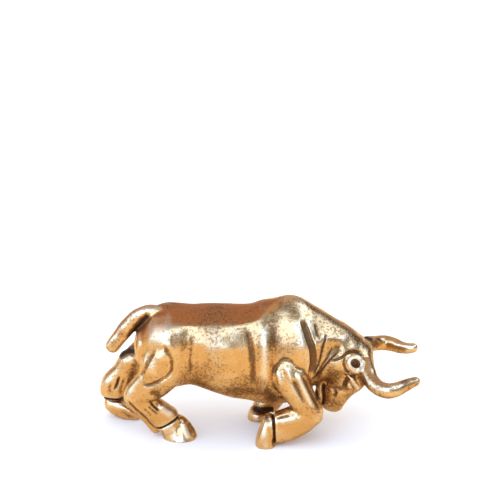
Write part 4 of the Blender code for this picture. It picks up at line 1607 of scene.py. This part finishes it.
class NodeBench:
    """Short calls that add nodes to a material or a world."""

    # Which of a Mix node's sockets are its two colours and their blend. Others share their names.
    MIX_FIRST, MIX_SECOND, MIX_BLEND = 6, 7, 2

    def __init__(self, owner: bpy.types.ID) -> None:
        """Empties the node tree of a material or a world, and keeps it."""
        owner.use_nodes = True
        self.tree = owner.node_tree
        self.tree.nodes.clear()

    def link(self, source: Socket, target: Socket) -> None:
        """Links an output to an input."""
        self.tree.links.new(source, target)

    def add(self, kind: str) -> bpy.types.Node:
        """A new node of a kind."""
        return self.tree.nodes.new(kind)

    def attribute(self, name: str) -> Socket:
        """An attribute of the mesh.

        Args:
            name: Its name.

        Returns:
            A socket with its number.
        """
        node = self.add("ShaderNodeAttribute")
        node.attribute_name = name
        return node.outputs["Fac"]

    def noise(self, where: Socket, scale: float, detail: float) -> Socket:
        """Smooth noise.

        Args:
            where: The socket with the place.
            scale: Waves to the metre.
            detail: How many finer layers it has.

        Returns:
            A socket with a number from 0 to 1.
        """
        node = self.add("ShaderNodeTexNoise")
        node.inputs["Scale"].default_value = scale
        node.inputs["Detail"].default_value = detail
        self.link(where, node.inputs["Vector"])
        return node.outputs["Fac"]

    def _feed(self, socket: Socket, value: object) -> None:
        """Links a socket, or sets its value.

        Args:
            socket: The socket that is fed.
            value: Another socket, a number or a linear colour.
        """
        if isinstance(value, Socket):
            self.link(value, socket)
        else:
            socket.default_value = (*value, 1.0) if isinstance(value, tuple) else value

    def math(self, kind: str, *values: object) -> Socket:
        """A Math node.

        Args:
            kind: Its operation.
            values: A socket or a number for each of its inputs.

        Returns:
            A socket with the result.
        """
        node = self.add("ShaderNodeMath")
        node.operation = kind
        for socket, value in zip(node.inputs, values):
            self._feed(socket, value)
        return node.outputs[0]

    def ramp(self, value: Socket, start: float, end: float) -> Socket:
        """A smooth step.

        Args:
            value: The socket that it is taken of.
            start: The value at which it is 0.
            end: The value at which it is 1, which may be the lower one.

        Returns:
            A socket with the step.
        """
        node = self.add("ShaderNodeMapRange")
        node.interpolation_type = "SMOOTHSTEP"
        self._feed(node.inputs["Value"], value)
        low, high, bottom, top = (start, end, 0.0, 1.0) if start < end else (end, start, 1.0, 0.0)
        node.inputs["From Min"].default_value = low
        node.inputs["From Max"].default_value = high
        node.inputs["To Min"].default_value = bottom
        node.inputs["To Max"].default_value = top
        return node.outputs["Result"]

    def span(self, value: Socket, bottom: float, top: float) -> Socket:
        """A straight line from bottom at 0 to top at 1."""
        return self.math("MULTIPLY_ADD", value, top - bottom, bottom)

    def mix(self, share: Socket, first: object, second: Colour) -> Socket:
        """A blend of two colours.

        Args:
            share: How much of the second colour there is.
            first: The first colour, or a socket with one.
            second: The second colour.

        Returns:
            A socket with the blend.
        """
        node = self.add("ShaderNodeMix")
        node.data_type = "RGBA"
        self._feed(node.inputs["Factor"], share)
        self._feed(node.inputs[self.MIX_FIRST], first)
        self._feed(node.inputs[self.MIX_SECOND], second)
        return node.outputs[self.MIX_BLEND]


@dataclass(frozen=True)
class Panel:
    """A soft patch of light or shade in the room round the bull.

    Args:
        name: What it is.
        azimuth: Its left and right edges in degrees: 0 faces the right flank, and 90 the horns.
        elevation: Its lower and upper edges in degrees above the floor.
        light: The colour that it brings, linear.
        edge: How wide its soft edge is, in degrees.
    """

    name: str
    azimuth: Pair
    elevation: Pair
    light: Colour
    edge: float = 8.0


@dataclass(frozen=True)
class Studio:
    """A plain pale floor in a room of soft light.

    Args:
        floor_size: The side of the floor, in metres.
        floor_colour: The cream of the floor as the metal sees it, linear.
        floor_to_the_eye: The floor as the camera sees it, linear. It is warm to balance the cool lamps.
        room: The room's own colour, linear.
        panels: The patches of light and shade, each laid over those before it.
        dome: The even light that the floor gets.
    """

    floor_size: float = 6.0
    floor_colour: Colour = (0.84, 0.60, 0.34)
    floor_to_the_eye: Colour = (1.0, 0.96, 0.87)
    room: Colour = (0.37, 0.40, 0.46)
    panels: tuple[Panel, ...] = (
        Panel("wall_behind_left", (-185.0, -115.0), (-90.0, 88.0), (0.60, 0.46, 0.40), 16.0),
        Panel("wall_behind_right", (150.0, 185.0), (-90.0, 88.0), (0.60, 0.46, 0.40), 16.0),
        Panel("dark_corner", (92.0, 150.0), (-20.0, 34.0), (0.10, 0.07, 0.05), 12.0),
        Panel("key", (-98.0, 16.0), (4.0, 62.0), (1.65, 2.20, 3.6), 14.0),
        Panel("key_corner", (0.0, 50.0), (44.0, 64.0), (1.65, 2.20, 3.6), 14.0),
        Panel("horn_lamp", (60.0, 136.0), (33.0, 62.0), (1.65, 2.20, 3.6), 12.0),
    )
    dome: float = 1.3

    def build(self) -> None:
        """Makes the floor and the room's light."""
        self._floor()
        self._room()
        bpy.context.scene.view_settings.view_transform = "Standard"

    def _floor(self) -> None:
        """A flat sheet on the ground plane, white to the eye and cream in the metal."""
        half = self.floor_size / 2.0
        corners = [(-half, -half, 0.0), (half, -half, 0.0), (half, half, 0.0), (-half, half, 0.0)]
        mesh = bpy.data.meshes.new("floor")
        mesh.from_pydata(corners, [], [[0, 1, 2, 3]])
        floor = bpy.data.objects.new("floor", mesh)
        bpy.context.scene.collection.objects.link(floor)
        made = bpy.data.materials.new("pale_floor")
        nodes = NodeBench(made)
        output = nodes.add("ShaderNodeOutputMaterial")
        sheet = nodes.add("ShaderNodeBsdfDiffuse")
        path = nodes.add("ShaderNodeLightPath")
        colour = nodes.mix(path.outputs["Is Camera Ray"], self.floor_colour, self.floor_to_the_eye)
        nodes.link(colour, sheet.inputs["Color"])
        nodes.link(sheet.outputs["BSDF"], output.inputs["Surface"])
        floor.data.materials.append(made)

    def _room(self) -> None:
        """The room's light, white to the eye, with the panels laid over its own colour in turn.

        A direction's azimuth is atan2(x, -y) and its elevation asin(z). A panel's strength is a smooth
        step in from each of its four edges, all multiplied.
        """
        world = bpy.data.worlds.new("room")
        bpy.context.scene.world = world
        nodes = NodeBench(world)
        output = nodes.add("ShaderNodeOutputWorld")
        light = nodes.add("ShaderNodeBackground")
        path = nodes.add("ShaderNodeLightPath")
        split = nodes.add("ShaderNodeSeparateXYZ")
        nodes.link(nodes.add("ShaderNodeTexCoord").outputs["Generated"], split.inputs[0])
        forward = nodes.math("MULTIPLY", split.outputs["Y"], -1.0)
        azimuth = nodes.math("ARCTAN2", split.outputs["X"], forward)
        elevation = nodes.math("ARCSINE", split.outputs["Z"])
        colour = self.room
        for panel in self.panels:
            half = math.radians(panel.edge) / 2.0
            strength = 1.0
            for angle, (low, high) in ((azimuth, panel.azimuth), (elevation, panel.elevation)):
                low, high = math.radians(low), math.radians(high)
                strength = nodes.math("MULTIPLY", nodes.ramp(angle, low - half, low + half), strength)
                strength = nodes.math("MULTIPLY", nodes.ramp(angle, high + half, high - half), strength)
            colour = nodes.mix(strength, colour, panel.light)
        colour = nodes.mix(path.outputs["Is Diffuse Ray"], colour, (self.dome,) * 3)
        colour = nodes.mix(path.outputs["Is Camera Ray"], colour, (1.0, 1.0, 1.0))
        nodes.link(colour, light.inputs["Color"])
        nodes.link(light.outputs["Background"], output.inputs["Surface"])


@dataclass(frozen=True)
class PhotoCamera:
    """The camera at the photograph's angle.

    Args:
        elevation: How far above the horizon it stands, in degrees.
        distance: How far it stands from the point that it is placed by, in metres.
        focal: Its focal length, in millimetres.
        target: The point that it is placed by, in metres.
        pixel: Where that point falls in the photograph, in pixels.
        picture: The side of the photograph, in pixels.
        sensor: The width of the sensor, in millimetres.
        near: The nearest that it sees, in metres.
    """

    elevation: float = 25.0
    distance: float = 0.8
    focal: float = 351.7
    target: Triple = (0.0, 0.0, 0.0103)
    pixel: Pair = (259.8, 371.0)
    picture: float = 500.0
    sensor: float = 36.0
    near: float = 0.01

    def build(self) -> None:
        """Makes the camera, which becomes the scene's."""
        lens = bpy.data.cameras.new("photo_camera")
        lens.sensor_width = self.sensor
        lens.lens = self.focal
        lens.clip_start = self.near
        obj = bpy.data.objects.new("photo_camera", lens)
        rise = math.radians(self.elevation)
        back = Vector((0.0, -math.cos(rise), math.sin(rise)))
        obj.location = Vector(self.target) + self.distance * back
        step = self.sensor / self.picture / self.focal
        pitch = rise - math.atan((self.pixel[1] - self.picture / 2.0) * step)
        yaw = math.atan((self.pixel[0] - self.picture / 2.0) * step)
        obj.rotation_euler = (math.pi / 2.0 - pitch, 0.0, yaw)
        bpy.context.scene.collection.objects.link(obj)
        bpy.context.scene.camera = obj


def main() -> None:
    """Builds the camera, the studio and the casting, and reports how many faces the casting has."""
    logging.basicConfig(level=logging.INFO, format="%(message)s")
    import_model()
    PhotoCamera().build()
    Studio().build()

    casting = Casting()
    bull = casting.build(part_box("bull"))
    bull.data.materials.clear()
    bull.data.materials.append(BrassFinish().material())
    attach(bull, "root")
    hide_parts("bull")
    LOG.info("%s: %d faces", bull.name, len(bull.data.polygons))


if __name__ == "__main__":
    main()
